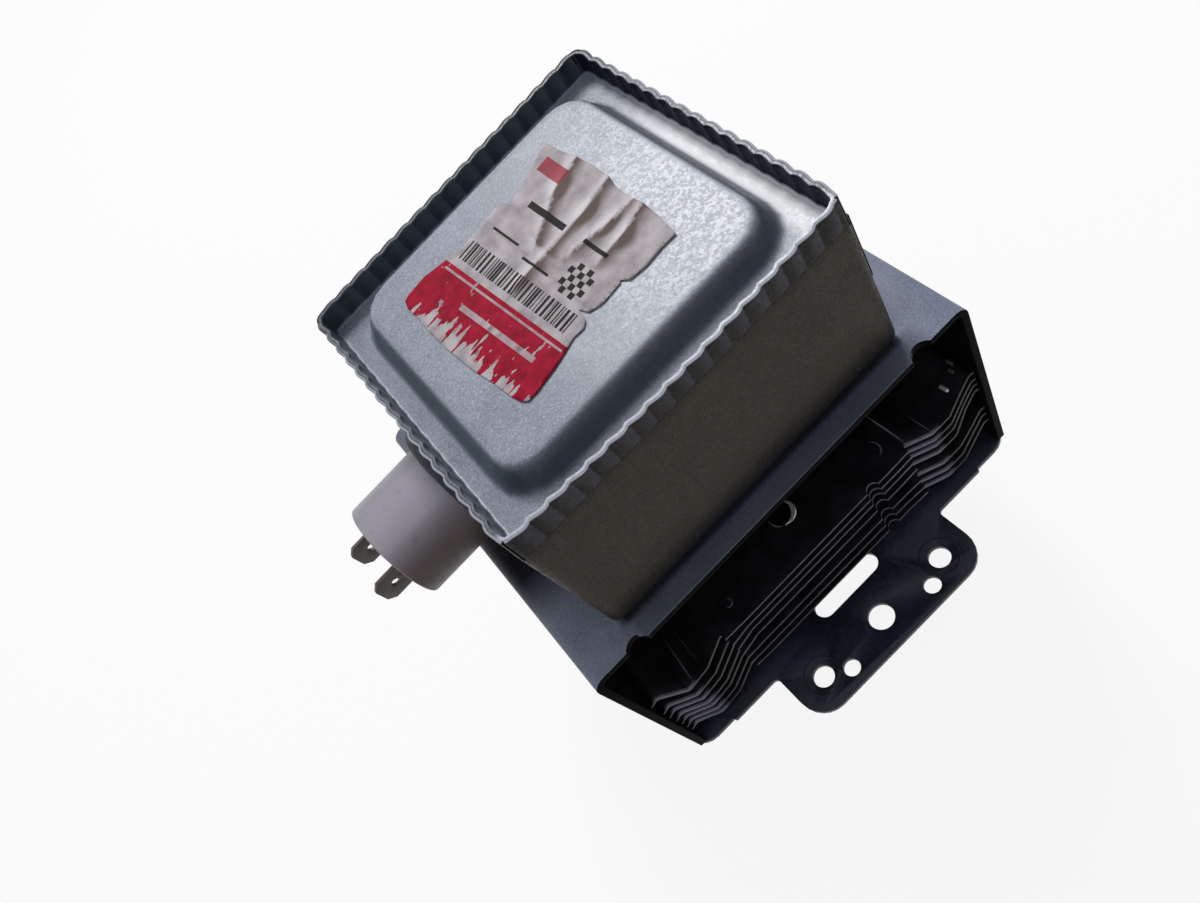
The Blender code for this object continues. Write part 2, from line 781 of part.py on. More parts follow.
capacitor_ceramic = turned_along_x("capacitor_ceramic", [
    (0.0, ceramic_outer_x), (ceramic_radius, ceramic_outer_x),
    (ceramic_radius, ceramic_inner_x), (0.0, ceramic_inner_x),
], ceramic, 28)


def slots(width, low, high):
    """A cutter with one slot for each blade, a clearance wider than the metal that goes through it."""
    def build(shape):
        half_y, half_z = blade_thickness / 2 + FIT, width / 2 + FIT
        for side in (-1, 1):
            add_box(shape, (low, side * terminal_y - half_y, capacitor_z - half_z),
                    (high, side * terminal_y + half_y, capacitor_z + half_z))
    return build


cut(capacitor_tube, cutter_of("blade_slots", slots(blade_width, tube_end_x - MM, ceramic_outer_x)))
cut(capacitor_ceramic,
    cutter_of("stem_slots", slots(blade_stem_width, ceramic_outer_x - MM, ceramic_inner_x + MM)))


def blade_outline():
    """A blade and its stem, drawn flat with x along the blade."""
    tip = tube_end_x - blade_reach
    shoulder = ceramic_outer_x - FIT
    tail = ceramic_inner_x + stem_tail
    half, stem = blade_width / 2, blade_stem_width / 2
    lower = [(tip, -half + blade_chamfer), (tip + blade_chamfer, -half), (shoulder, -half),
             (shoulder, -stem), (tail, -stem)]
    return [Vector(p) for p in lower + [(x, -z) for x, z in reversed(lower)]]


blade_hole_x = tube_end_x - blade_reach + blade_hole_inset
for label, side in (("a", -1), ("b", 1)):
    blade = stamped("blade_terminal_" + label,
                    [blade_outline(), circle(blade_hole_x, 0, blade_hole_diameter / 2, 16)],
                    -blade_thickness / 2, blade_thickness / 2, tin)
    blade.rotation_euler = (math.pi / 2, 0, 0)
    blade.location = (0, side * terminal_y, capacitor_z)


# Chokes inside the filter box: a ferrite rod in each coil, between a blade's stem and a cathode lead

choke_start_x = ceramic_inner_x + stem_tail + FIT
coil_start_x = choke_start_x + choke_lead
coil_length = choke_turns * choke_pitch
coil_end_x = coil_start_x + coil_length
lead_radius = lead_diameter / 2


def choke_path(side):
    points = [Vector((choke_start_x, side * terminal_y, capacitor_z))]
    steps_per_turn = 7
    steps = choke_turns * steps_per_turn
    for step in range(steps + 1):
        angle = 2 * math.pi * step / steps_per_turn
        x = coil_start_x + coil_length * step / steps
        y = side * (choke_offset_y - choke_radius * math.cos(angle))
        points.append(Vector((x, y, capacitor_z + choke_radius * math.sin(angle))))
    points.append(Vector((-lead_radius - FIT, side * lead_offset, capacitor_z)))
    return points


for label, side in (("a", -1), ("b", 1)):
    wire("choke_coil_" + label, choke_path(side), choke_wire, enamel, 1)
    core = turned("ferrite_core_" + label, [
        (0.0, coil_end_x + ferrite_overhang), (ferrite_radius, coil_end_x + ferrite_overhang),
        (ferrite_radius, coil_start_x - ferrite_overhang), (0.0, coil_start_x - ferrite_overhang),
    ], ferrite, 16)
    core.rotation_euler = (0, math.pi / 2, 0)
    core.location = (0, side * choke_offset_y, capacitor_z)


# Ring magnets, on the flange and under the yoke's top plate

def magnet_profile(low, high, outer):
    edge = magnet_chamfer
    return [(outer - edge, high), (outer, high - edge), (outer, low + edge), (outer - edge, low),
            (magnet_bore_radius, low), (magnet_bore_radius, high)]


antenna_magnet_bottom = flange_thickness + FIT
antenna_magnet_top = antenna_magnet_bottom + antenna_magnet_thickness
cathode_magnet_bottom = anode_top + FIT + cup_sheet + FIT
cathode_magnet_top = yoke_underside - FIT
turned("antenna_side_magnet",
       magnet_profile(antenna_magnet_bottom, antenna_magnet_top, antenna_magnet_radius), ferrite, 32)
turned("cathode_side_magnet",
       magnet_profile(cathode_magnet_bottom, cathode_magnet_top, cathode_magnet_radius), ferrite, 32)


# Tube envelope: copper anode cylinder with a steel cup at each end

turned("anode_cylinder", ring(anode_bottom, anode_top, anode_bore_radius, anode_radius), copper, 32)

cathode_brim = anode_top + FIT
cup_inner = cup_radius - cup_sheet
cup_mouth = cup_radius - cup_shoulder
turned("cathode_seal_cup", [
    (cup_mouth, cathode_cup_end), (cup_radius - cup_sheet, cathode_cup_end),
    (cup_radius, cathode_cup_end - cup_sheet), (cup_radius, cathode_brim + cup_sheet),
    (cup_brim_radius, cathode_brim + cup_sheet), (cup_brim_radius, cathode_brim),
    (cup_inner, cathode_brim), (cup_inner, cathode_cup_end - cup_sheet),
    (cup_mouth, cathode_cup_end - cup_sheet),
], steel, 20)

antenna_brim = anode_bottom - FIT
turned("antenna_seal_cup", [
    (cup_brim_radius, antenna_brim), (cup_brim_radius, antenna_brim - cup_sheet),
    (cup_radius, antenna_brim - cup_sheet), (cup_radius, antenna_cup_end + cup_sheet),
    (cup_radius - cup_sheet, antenna_cup_end), (cup_mouth, antenna_cup_end),
    (cup_mouth, antenna_cup_end + cup_sheet), (cup_inner, antenna_cup_end + cup_sheet),
    (cup_inner, antenna_brim),
], steel)


# Pole pieces: steel funnels that lead the field to the vanes

def pole_profile(base, way):
    """A funnel whose foot lies at base and whose mouth stands off it by pole_rise along way."""
    rim = anode_bore_radius - FIT
    foot = base + way * pole_sheet
    mouth = base + way * pole_rise
    slant = 0.8 * pole_sheet
    points = [(rim, base), (rim, foot), (pole_foot_radius, foot), (pole_bore_radius + slant, mouth),
              (pole_bore_radius, mouth), (pole_bore_radius, mouth - way * pole_sheet),
              (pole_foot_radius - slant, base)]
    return points if way < 0 else list(reversed(points))


antenna_pole = turned("antenna_side_pole_piece", pole_profile(anode_bottom, 1), steel, 20)
turned("cathode_side_pole_piece", pole_profile(anode_top, -1), steel, 20)


def rod_way(shape):
    radius = antenna_rod_diameter / 2 + rod_clearance
    add_rod(shape, (antenna_rod_x, 0), radius, anode_bottom - MM, anode_bottom + pole_rise, segments=16)


cut(antenna_pole, cutter_of("antenna_rod_way", rod_way))


# Vanes and their straps: neighbouring vanes are tied together by turns

def vane(shape):
    add_box(shape, (vane_tip_radius, -vane_thickness / 2, vane_bottom),
            (anode_bore_radius - FIT, vane_thickness / 2, vane_top))


for number in range(vane_count):
    blade = place(f"anode_vane_{number + 1:02d}", mesh_from("anode_vane", vane), copper)
    blade.rotation_euler = (0, 0, 2 * math.pi * number / vane_count)

for size, radius in (("inner", inner_strap_radius), ("outer", outer_strap_radius)):
    for end, low in (("top", vane_top + FIT), ("bottom", vane_bottom - FIT - strap_height)):
        turned(f"{size}_strap_{end}", ring(low, low + strap_height, radius, radius + strap_radial), copper, 16)


# Cathode: filament between two end hats, on leads that rise through the stem's ceramic

lower_hat_top = vane_bottom - end_hat_gap
upper_hat_bottom = vane_top + end_hat_gap
turned("lower_end_hat", [
    (0.0, lower_hat_top), (end_hat_radius, lower_hat_top),
    (end_hat_radius, lower_hat_top - end_hat_thickness), (0.0, lower_hat_top - end_hat_thickness),
], tungsten, 16)
turned("upper_end_hat",
       ring(upper_hat_bottom, upper_hat_bottom + end_hat_thickness, lead_radius + FIT, end_hat_radius),
       tungsten, 16)


def filament_path():
    steps_per_turn = 6
    steps = filament_turns * steps_per_turn
    low = lower_hat_top + filament_wire / 2 + FIT
    high = upper_hat_bottom - filament_wire / 2 - FIT
    points = []
    for step in range(steps + 1):
        angle = 2 * math.pi * step / steps_per_turn
        points.append((filament_radius * math.cos(angle), filament_radius * math.sin(angle),
                       low + (high - low) * step / steps))
    return points


wire("cathode_filament", filament_path(), filament_wire, tungsten, 1)

lead_end = stem_top + lead_above_stem
jog_low = cathode_brim + lead_jog_inset
jog_high = yoke_top - lead_jog_inset
wire("centre_lead", [(0, 0, lower_hat_top + FIT), (0, 0, jog_low), (0, lead_offset, jog_high),
                     (0, lead_offset, lead_end)], lead_diameter, tungsten)
side_start = upper_hat_bottom + end_hat_thickness + FIT
wire("side_lead", [(0, -2 * lead_radius - FIT, side_start), (0, -2 * lead_radius - FIT, jog_low),
                   (0, -lead_offset, jog_high), (0, -lead_offset, lead_end)], lead_diameter, tungsten)

stem_radius = cup_radius - stem_ceramic_inset + FIT
stem_ceramic = turned("cathode_stem_ceramic", [
    (0.0, stem_top), (stem_radius, stem_top), (stem_radius, stem_bottom), (0.0, stem_bottom),
], ceramic, 32)


def lead_holes(shape):
    for side in (-1, 1):
        add_rod(shape, (0, side * lead_offset), lead_radius + FIT, stem_bottom - MM, stem_top + MM, segments=12)


cut(stem_ceramic, cutter_of("lead_holes", lead_holes))


# Antenna: output ceramic, exhaust tube, rod and cap, with the mesh gasket round the cup

output_radius = cup_mouth
turned("output_ceramic",
       ring(output_ceramic_bottom, output_ceramic_top, output_radius - output_ceramic_wall, output_radius),
       ceramic)

exhaust_end = exhaust_top - exhaust_length
brim_radius = cap_radius - cap_sheet - FIT
turned("exhaust_tube", [
    (exhaust_bore_radius, exhaust_top), (brim_radius, exhaust_top),
    (brim_radius, exhaust_top - exhaust_brim), (exhaust_radius, exhaust_top - exhaust_brim),
    (exhaust_radius, exhaust_end), (exhaust_bore_radius, exhaust_end - pinch_length),
], copper, 18)

rod_turn = anode_bottom + rod_bend_rise
wire("antenna_rod", [
    (antenna_rod_x, 0, vane_bottom - FIT), (antenna_rod_x, 0, rod_turn),
    (antenna_rod_x - rod_bend_run, 0, antenna_brim), (0, 0, -rod_join_drop), (0, 0, exhaust_end + FIT),
], antenna_rod_diameter, copper)

cap_top = exhaust_top - FIT
cap_end = cap_top - cap_length
turned("antenna_cap", [
    (0.0, cap_end + cap_sheet), (cap_radius - cap_sheet - cap_bend, cap_end + cap_sheet),
    (cap_radius - cap_sheet, cap_end + cap_sheet + cap_bend), (cap_radius - cap_sheet, cap_top),
    (cap_radius, cap_top), (cap_radius, cap_end + cap_bend),
    (cap_radius - EDGE_MIDDLE * cap_bend, cap_end + EDGE_MIDDLE * cap_bend), (cap_radius - cap_bend, cap_end),
    (0.0, cap_end),
], steel)

gasket_inner = cup_radius + FIT
gasket_outer = gasket_inner + gasket_width
gasket_top = -FIT
gasket_bottom = gasket_top - gasket_height
turned("rf_mesh_gasket", [
    (gasket_outer - gasket_edge, gasket_top), (gasket_outer, gasket_top - gasket_edge),
    (gasket_outer, gasket_bottom + gasket_edge), (gasket_outer - gasket_edge, gasket_bottom),
    (gasket_inner, gasket_bottom), (gasket_inner, gasket_top),
], mesh_steel)
turned("gasket_retainer",
       ring(gasket_bottom - FIT - retainer_height, gasket_bottom - FIT, gasket_inner,
            gasket_inner + retainer_width), steel, 24)


# Cooling fins: thin sheets pressed over the anode, bent down beside it and hooked at the yoke's walls

def fin_profile(hub, right_crease, left_crease, right_hook, left_hook):
    """(x, z) points across one fin, from the left wall to the right one."""
    left_valley = left_crease - left_valley_drop
    right_valley = right_crease - right_valley_drop
    return [
        (-fin_end_x, left_hook - left_lip_drop), (left_lip_run - fin_end_x, left_hook),
        (left_rise_run - fin_end_x, left_valley - left_sag), (-fin_valley_x, left_valley),
        (-fin_crease_x, left_crease), (-fin_hub_half, hub), (fin_hub_half, hub),
        (fin_crease_x, right_crease), (fin_valley_x, right_valley),
        (fin_end_x - right_rise_run, right_valley), (fin_end_x - right_knee_run, right_hook - right_knee_drop),
        (fin_end_x - right_lip_run, right_hook), (fin_end_x, right_hook - right_lip_drop),
    ]


def fin_cuts(shape):
    """What every fin is stamped with: the anode's bore, stepped ends, edge notches and a hole."""
    low, high = 0.0, yoke_underside
    add_rod(shape, (0, 0), anode_radius + FIT, low, high, segments=24)
    for y_side in (-1, 1):
        add_rod(shape, (0, y_side * fin_hole_y), fin_hole_diameter / 2, low, high, segments=10)
        edge = fin_half_depth - fin_notch_depth
        for x_side in (-1, 1):
            across = sorted((x_side * fin_step_x, x_side * (fin_end_x + MM)))
            along = sorted((y_side * fin_end_half_depth, y_side * (fin_half_depth + MM)))
            add_box(shape, (across[0], along[0], low), (across[1], along[1], high))
            middle = x_side * fin_notch_x
            along = sorted((y_side * edge, y_side * (fin_half_depth + MM)))
            add_box(shape, (middle - fin_notch_width / 2, along[0], low),
                    (middle + fin_notch_width / 2, along[1], high))


fin_cutter = cutter_of("fin_cuts", fin_cuts)
for number, heights in enumerate(fin_heights, 1):
    fin = folded(f"cooling_fin_{number}", fin_profile(*heights), fin_half_depth, fin_sheet, 0, aluminium)
    cut(fin, fin_cutter)
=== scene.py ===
import json
import math
import bpy
import bmesh
from mathutils import Matrix, Vector
from mathutils.geometry import delaunay_2d_cdt


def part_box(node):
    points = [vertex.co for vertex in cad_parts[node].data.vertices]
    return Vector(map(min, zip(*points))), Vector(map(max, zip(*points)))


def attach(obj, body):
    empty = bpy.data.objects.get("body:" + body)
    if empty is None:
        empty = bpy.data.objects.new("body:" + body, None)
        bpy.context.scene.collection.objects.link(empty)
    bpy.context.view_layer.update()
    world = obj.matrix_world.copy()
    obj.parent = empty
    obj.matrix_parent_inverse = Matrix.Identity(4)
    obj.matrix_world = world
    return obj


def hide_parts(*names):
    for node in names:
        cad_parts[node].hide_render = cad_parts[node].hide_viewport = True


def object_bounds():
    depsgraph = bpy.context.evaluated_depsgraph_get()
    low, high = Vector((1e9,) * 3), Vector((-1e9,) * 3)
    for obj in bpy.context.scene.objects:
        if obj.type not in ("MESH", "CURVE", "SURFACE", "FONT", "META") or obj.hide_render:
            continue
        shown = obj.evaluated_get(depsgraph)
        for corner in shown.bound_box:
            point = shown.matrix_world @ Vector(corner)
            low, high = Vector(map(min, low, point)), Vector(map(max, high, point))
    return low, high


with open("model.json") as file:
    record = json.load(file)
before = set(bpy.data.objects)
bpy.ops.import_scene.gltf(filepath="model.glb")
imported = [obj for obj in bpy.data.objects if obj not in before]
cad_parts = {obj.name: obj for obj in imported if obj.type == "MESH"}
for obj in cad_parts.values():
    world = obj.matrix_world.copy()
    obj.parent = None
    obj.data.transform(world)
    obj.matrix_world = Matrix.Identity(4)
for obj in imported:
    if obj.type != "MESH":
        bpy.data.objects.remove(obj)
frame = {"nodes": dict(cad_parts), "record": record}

cad_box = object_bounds()
scene = bpy.context.scene
scene.view_settings.view_transform = "Standard"
MM = 0.001

# The view: a hand-held camera 24 cm away, above the open side of the fins. Its place and turn were
# found from the corners of the box, the yoke and the flange.
camera = bpy.data.objects.new("view_camera", bpy.data.cameras.new("view_camera"))
scene.collection.objects.link(camera)
scene.camera = camera
camera.data.lens = 29.95
camera.data.sensor_width = 36.0
camera.data.sensor_fit = "HORIZONTAL"
camera.data.clip_start = 10 * MM
camera.location = Vector((-13.8, -124.8, 210.1)) * MM
camera.rotation_mode = "QUATERNION"
camera.rotation_quaternion = Matrix((
    (0.6947, 0.7192, 0.0117),
    (-0.5645, 0.5552, -0.6108),
    (-0.4458, 0.4177, 0.7917),
)).to_quaternion()


# The studio: a pale table and backdrop, one broad soft lamp from behind on the right, where the light
# of the photograph comes from, and a dim glow all round. The table and backdrop look pale to the camera
# and in reflections, and light the object only dimly.
def shade(red, green, blue):
    """A colour as it looks on a screen, 0 to 255, as the light value that Blender takes."""
    shares = [level / 255 for level in (red, green, blue)]
    return (*(((s + 0.055) / 1.055) ** 2.4 if s > 0.04 else s / 12.92 for s in shares), 1.0)


def node(tree, kind, inputs=None, **settings):
    """Adds a node. inputs gives its sockets a value or a link, settings are its other fields."""
    made = tree.nodes.new(kind)
    for field, value in settings.items():
        setattr(made, field, value)
    for key, value in (inputs or {}).items():
        if isinstance(value, bpy.types.NodeSocket):
            tree.links.new(value, made.inputs[key])
        else:
            made.inputs[key].default_value = value
    return made


def tree_of(*values):
    """The node tree that the first socket among the values belongs to."""
    return next(value.id_data for value in values if isinstance(value, bpy.types.NodeSocket))


def calc(operation, *values):
    """A Math node of that operation on up to three values or sockets, and its result."""
    return node(tree_of(*values), "ShaderNodeMath", dict(enumerate(values)), operation=operation).outputs[0]


def times(first, *others):
    """The product of any number of values and sockets, two of them at a time."""
    for other in others:
        first = calc("MULTIPLY", first, other)
    return first


def seen_rays(tree):
    """1 for what the camera sees directly, in a reflection or through glass."""
    path = node(tree, "ShaderNodeLightPath").outputs
    seen = calc("MAXIMUM", path["Is Camera Ray"], path["Is Glossy Ray"])
    return calc("MAXIMUM", seen, path["Is Transmission Ray"])


lamp_place = Vector((0.257, 0.559, 0.743))
lamp_watts = 5.0
glow_from = Vector((-0.50, 0.50, 0.70))
glow_bright, glow_dim = 0.45, 0.05
backdrop_colour = shade(253, 253, 253)
table_colour = shade(254, 254, 254)

world = bpy.data.worlds.new("studio")
world.use_nodes = True
scene.world = world
tree = world.node_tree
tree.nodes.clear()
toward_glow = node(tree, "ShaderNodeVectorMath", {
    0: node(tree, "ShaderNodeTexCoord").outputs["Generated"], 1: glow_from.normalized(),
}, operation="DOT_PRODUCT").outputs["Value"]
glow = node(tree, "ShaderNodeMapRange", {
    "Value": toward_glow, "From Min": -0.6, "From Max": 1.0, "To Min": glow_dim, "To Max": glow_bright,
}, interpolation_type="SMOOTHSTEP").outputs["Result"]
glow_light = node(tree, "ShaderNodeBackground", {"Color": (0.95, 0.97, 1.0, 1.0), "Strength": glow})
backdrop = node(tree, "ShaderNodeBackground", {"Color": backdrop_colour, "Strength": 1.0})
node(tree, "ShaderNodeOutputWorld", {"Surface": node(tree, "ShaderNodeMixShader", {
    0: seen_rays(tree), 1: glow_light.outputs[0], 2: backdrop.outputs[0],
}).outputs[0]})

lamp = bpy.data.objects.new("soft_lamp", bpy.data.lights.new("soft_lamp", "AREA"))
lamp.data.shape = "DISK"
lamp.data.size = 0.30
lamp.data.energy = lamp_watts
lamp.location = lamp_place
lamp.rotation_euler = (lamp_place - Vector((0, 0, 0.05))).to_track_quat("Z", "Y").to_euler()
scene.collection.objects.link(lamp)


def placed(name, points, edges=(), faces=()):
    """An object with a mesh of these points, in metres."""
    mesh = bpy.data.meshes.new(name)
    mesh.from_pydata(points, edges, faces)
    piece = bpy.data.objects.new(name, mesh)
    scene.collection.objects.link(piece)
    return piece


table_reach = 4.0
corners = ((-1, -1), (1, -1), (1, 1), (-1, 1))
table = placed("table", [(x * table_reach, y * table_reach, cad_box[0].z) for x, y in corners], faces=[(0, 1, 2, 3)])
table_paint = bpy.data.materials.new("pale_table")
table_paint.use_nodes = True
tree = table_paint.node_tree
tree.nodes.clear()
lit = node(tree, "ShaderNodeBsdfDiffuse", {"Color": table_colour})
pale = node(tree, "ShaderNodeEmission", {"Color": table_colour, "Strength": 1.0})
looks = node(tree, "ShaderNodeMixShader", {0: 0.90, 1: lit.outputs[0], 2: pale.outputs[0]})
dim = node(tree, "ShaderNodeBsdfDiffuse", {"Color": shade(80, 80, 82)})
node(tree, "ShaderNodeOutputMaterial", {"Surface": node(tree, "ShaderNodeMixShader", {
    0: seen_rays(tree), 1: dim.outputs[0], 2: looks.outputs[0],
}).outputs[0]})
table.data.materials.append(table_paint)


# The filter box: a square tub folded from zinc-plated strip, open at one corner and lapped on the next
# wall. A crimping tool has squeezed its mouth into even lobes that hold the lid, and the lobes run out
# on a straight line a little way down.
def new_finish(name, roughness, metallic=0.0):
    """A material, its node tree and its shader."""
    made = bpy.data.materials.new(name)
    made.use_nodes = True
    shader = made.node_tree.nodes["Principled BSDF"]
    shader.inputs["Roughness"].default_value = roughness
    shader.inputs["Metallic"].default_value = metallic
    return made, made.node_tree, shader


def grain(tree, size, detail=2.0, stretch=(1, 1, 1), warp=0.0):
    """Noise from 0 to 1 whose patches are about that many millimetres wide."""
    place = node(tree, "ShaderNodeMapping", {
        "Vector": node(tree, "ShaderNodeTexCoord").outputs["Object"], "Scale": stretch})
    return node(tree, "ShaderNodeTexNoise", {
        "Vector": place.outputs[0], "Scale": 1 / (size * MM), "Detail": detail, "Distortion": warp}).outputs["Fac"]


def stepped(value, low, high, to_low=0.0, to_high=1.0):
    """The value's range low to high stretched over another range, and held beyond it."""
    return node(tree_of(value), "ShaderNodeMapRange", {
        "Value": value, "From Min": low, "From Max": high, "To Min": to_low, "To Max": to_high}).outputs["Result"]


def ramp(place, low, high, to_low=0.0, to_high=1.0):
    """A place along one of the object's axes, stepped as above, with low and high in millimetres."""
    return stepped(place, low * MM, high * MM, to_low, to_high)


def between(share, first, second):
    """A colour between two colours or colour sockets."""
    return node(tree_of(share, first, second), "ShaderNodeMix", {
        "Factor": share, 6: first, 7: second}, data_type="RGBA").outputs[2]


def layered(plate, *layers):
    """A colour with others laid over it, each given as its share and its colour."""
    for share, colour in layers:
        plate = between(share, plate, colour)
    return plate


def coloured(shader, colour):
    """Links a colour to the shader."""
    shader.id_data.links.new(colour, shader.inputs["Base Color"])


def rough_by(shader, value, low, high):
    """Lets a value set the roughness, from low to high."""
    shader.id_data.links.new(stepped(value, 0.3, 0.7, low, high), shader.inputs["Roughness"])


def bumped(shader, height, depth, strength=1.0):
    """Relief of that many millimetres on the shader."""
    tree = shader.id_data
    relief = node(tree, "ShaderNodeBump", {"Height": height, "Strength": strength, "Distance": depth * MM})
    tree.links.new(relief.outputs[0], shader.inputs["Normal"])


def mottled(name, dark, light, size, detail, roughness, metallic=0.0, relief=None):
    """A finish in patches of two shades. relief gives a bump's patch size, detail, depth and strength."""
    made, tree, shader = new_finish(name, roughness, metallic)
    coloured(shader, between(grain(tree, size, detail), dark, light))
    if relief:
        bumped(shader, grain(tree, *relief[:2]), *relief[2:])
    return made, tree, shader


def zinc(name, dark, light, fleck, roughness=0.45, specular=0.4, cloud=14, frosting=0.55, flecks=0.6, worn=None):
    """Zinc plate: soft clouds, a fine frost of crystals and a few bright flecks. worn, if given, lays more colour over
    it: a stain, and painted light and shade.
    """
    made, tree, shader = new_finish(name, roughness)
    shader.inputs["Specular IOR Level"].default_value = specular
    clouds = stepped(grain(tree, cloud, 3.0, warp=0.6), 0.30, 0.70)
    frost = stepped(grain(tree, 0.40, 2.5), 0.35, 0.68)
    cells = node(tree, "ShaderNodeTexVoronoi", {
        "Vector": node(tree, "ShaderNodeTexCoord").outputs["Object"], "Scale": 1 / (0.5 * MM)}).outputs["Color"]
    crystal = node(tree, "ShaderNodeSeparateColor", {"Color": cells}).outputs["Red"]
    tone = calc("MULTIPLY_ADD", frost, frosting, times(clouds, 0.85 - frosting))
    tone = calc("MULTIPLY_ADD", crystal, 0.15, tone)
    plate = between(tone, dark, light)
    bright = stepped(grain(tree, 0.32, 1.0), 0.66, 0.74)
    plate = between(times(bright, flecks), plate, fleck)
    if worn:
        plate = worn(tree, plate)
    coloured(shader, plate)
    rough_by(shader, crystal, roughness - 0.06, roughness + 0.08)
    bumped(shader, frost, 0.012, 0.5)
    return made


box_half_x, box_half_y = 36.0, 35.6
box_corner = 2.0
box_sheet = 0.5
box_bottom, box_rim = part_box("filter_box")[0].z / MM, 94.9
box_bend = 1.5
band_foot = box_rim - 5.8
waves_x, waves_y = 17, 16
wave_steps, corner_steps = 10, 4
wave_height = 0.45


def outline(inset, corner=None, half=None):
    """Points round the box's outline, always as many, so that outlines of any size can be joined."""
    half_x, half_y = half or (box_half_x - inset, box_half_y - inset)
    corner = max(box_corner - inset, 0.2) if corner is None else corner
    across, along = half_x - corner, half_y - corner
    points = []
    for turn, start, end, waves, centre in (
        (0, (half_x, -along), (half_x, along), waves_y, (across, along)),
        (90, (across, half_y), (-across, half_y), waves_x, (-across, along)),
        (180, (-half_x, along), (-half_x, -along), waves_y, (-across, -along)),
        (270, (-across, -half_y), (across, -half_y), waves_x, (across, -along)),
    ):
        steps = waves * wave_steps
        points += [Vector(start).lerp(Vector(end), step / steps) for step in range(steps + 1)]
        for step in range(1, corner_steps):
            angle = math.radians(turn + 90 * step / corner_steps)
            points.append(Vector(centre) + corner * Vector((math.cos(angle), math.sin(angle))))
    return points


def skinned(name, rings, closed=False):
    """A closed solid through rings of as many points each, in millimetres. Its two end rings are filled, or
    joined to each other if closed."""
    shape = bmesh.new()
    loops = [[shape.verts.new(Vector(point) * MM) for point in ring] for ring in rings]
    for first, second in zip(loops, loops[1:] + loops[:1] if closed else loops[1:]):
        for i in range(len(first)):
            j = (i + 1) % len(first)
            shape.faces.new((first[i], first[j], second[j], second[i]))
    if not closed:
        shape.faces.new(reversed(loops[0]))
        shape.faces.new(loops[-1])
    bmesh.ops.recalc_face_normals(shape, faces=shape.faces)
    piece = placed(name, [])
    shape.to_mesh(piece.data)
    shape.free()
    smoothed(piece.data)
    return piece


def smoothed(mesh, sharp=35):
    """Shades a mesh smooth, apart from edges sharper than that angle."""
    mesh.polygons.foreach_set("use_smooth", [True] * len(mesh.polygons))
    mesh.set_sharp_from_angle(angle=math.radians(sharp))


def plain(piece, sharp=35):
    """Turns a piece's modifiers into its mesh."""
    graph = bpy.context.evaluated_depsgraph_get()
    mesh = bpy.data.meshes.new_from_object(piece.evaluated_get(graph), depsgraph=graph)
    mesh.name = piece.name
    piece.modifiers.clear()
    piece.data = mesh
    smoothed(mesh, sharp)


def soften(piece, width, steps=2):
    """Rounds a piece's sharp edges."""
    rounding = piece.modifiers.new("rounded", "BEVEL")
    rounding.width, rounding.segments, rounding.limit_method = width * MM, steps, "ANGLE"
    rounding.angle_limit = math.radians(40)
    plain(piece)


def cut(piece, *cutters):
    """Takes the cutters' solids out of a piece and removes them."""
    for cutter in cutters:
        taken = piece.modifiers.new("cut", "BOOLEAN")
        taken.operation = "DIFFERENCE"
        taken.solver = "EXACT"
        taken.object = cutter
    plain(piece)
    for cutter in cutters:
        bpy.data.objects.remove(cutter)


def block(low, high, turn=0.0, about=(0, 0)):
    """A square cutter or plate between any two opposite corners, turned about the Z axis through a point."""
    low, high = zip(*(sorted(pair) for pair in zip(low, high)))
    spin = Matrix.Translation((*about, 0)) @ Matrix.Rotation(turn, 4, "Z")
    corners = [(low[0], low[1]), (high[0], low[1]), (high[0], high[1]), (low[0], high[1])]
    return skinned("block", [[spin @ Vector((x, y, z)) for x, y in corners] for z in (low[2], high[2])])


def round_bar(centre, radius, low, high, axis="Z", steps=48):
    """A round cutter or rod along an axis, from low to high on it."""
    angles = [2 * math.pi * i / steps for i in range(steps)]
    ring = [(centre[0] + radius * math.cos(a), centre[1] + radius * math.sin(a)) for a in angles]
    return skinned("bar", [[(a, b, end) if axis == "Z" else (end, a, b) for a, b in ring] for end in (low, high)])


def node_tool(name, inputs):
    """A Geometry Nodes tree with named inputs, and the sockets that give those inputs inside it."""
    tree = bpy.data.node_groups.new(name, "GeometryNodeTree")
    tree.interface.new_socket("Geometry", in_out="INPUT", socket_type="NodeSocketGeometry")
    for label, kind in inputs.items():
        tree.interface.new_socket(label, in_out="INPUT", socket_type=kind)
    tree.interface.new_socket("Geometry", in_out="OUTPUT", socket_type="NodeSocketGeometry")
    return tree, tree.nodes.new("NodeGroupInput").outputs


def worked(piece, tree, sharp=35, **values):
    """Puts a piece through a Geometry Nodes tree with these input values and keeps the result as its mesh."""
    modifier = piece.modifiers.new(tree.name, "NODES")
    modifier.node_group = tree
    for item in tree.interface.items_tree:
        if item.in_out == "INPUT" and item.name.replace(" ", "_").lower() in values:
            modifier[item.identifier] = values[item.name.replace(" ", "_").lower()]
    plain(piece, sharp)


def end_with(tree, geometry, material):
    """The last nodes of a tree: instances made real, and the material set."""
    real = node(tree, "GeometryNodeRealizeInstances", {"Geometry": geometry})
    painted = node(tree, "GeometryNodeSetMaterial", {"Geometry": real.outputs[0], "Material": material})
    node(tree, "NodeGroupOutput", {0: painted.outputs[0]})


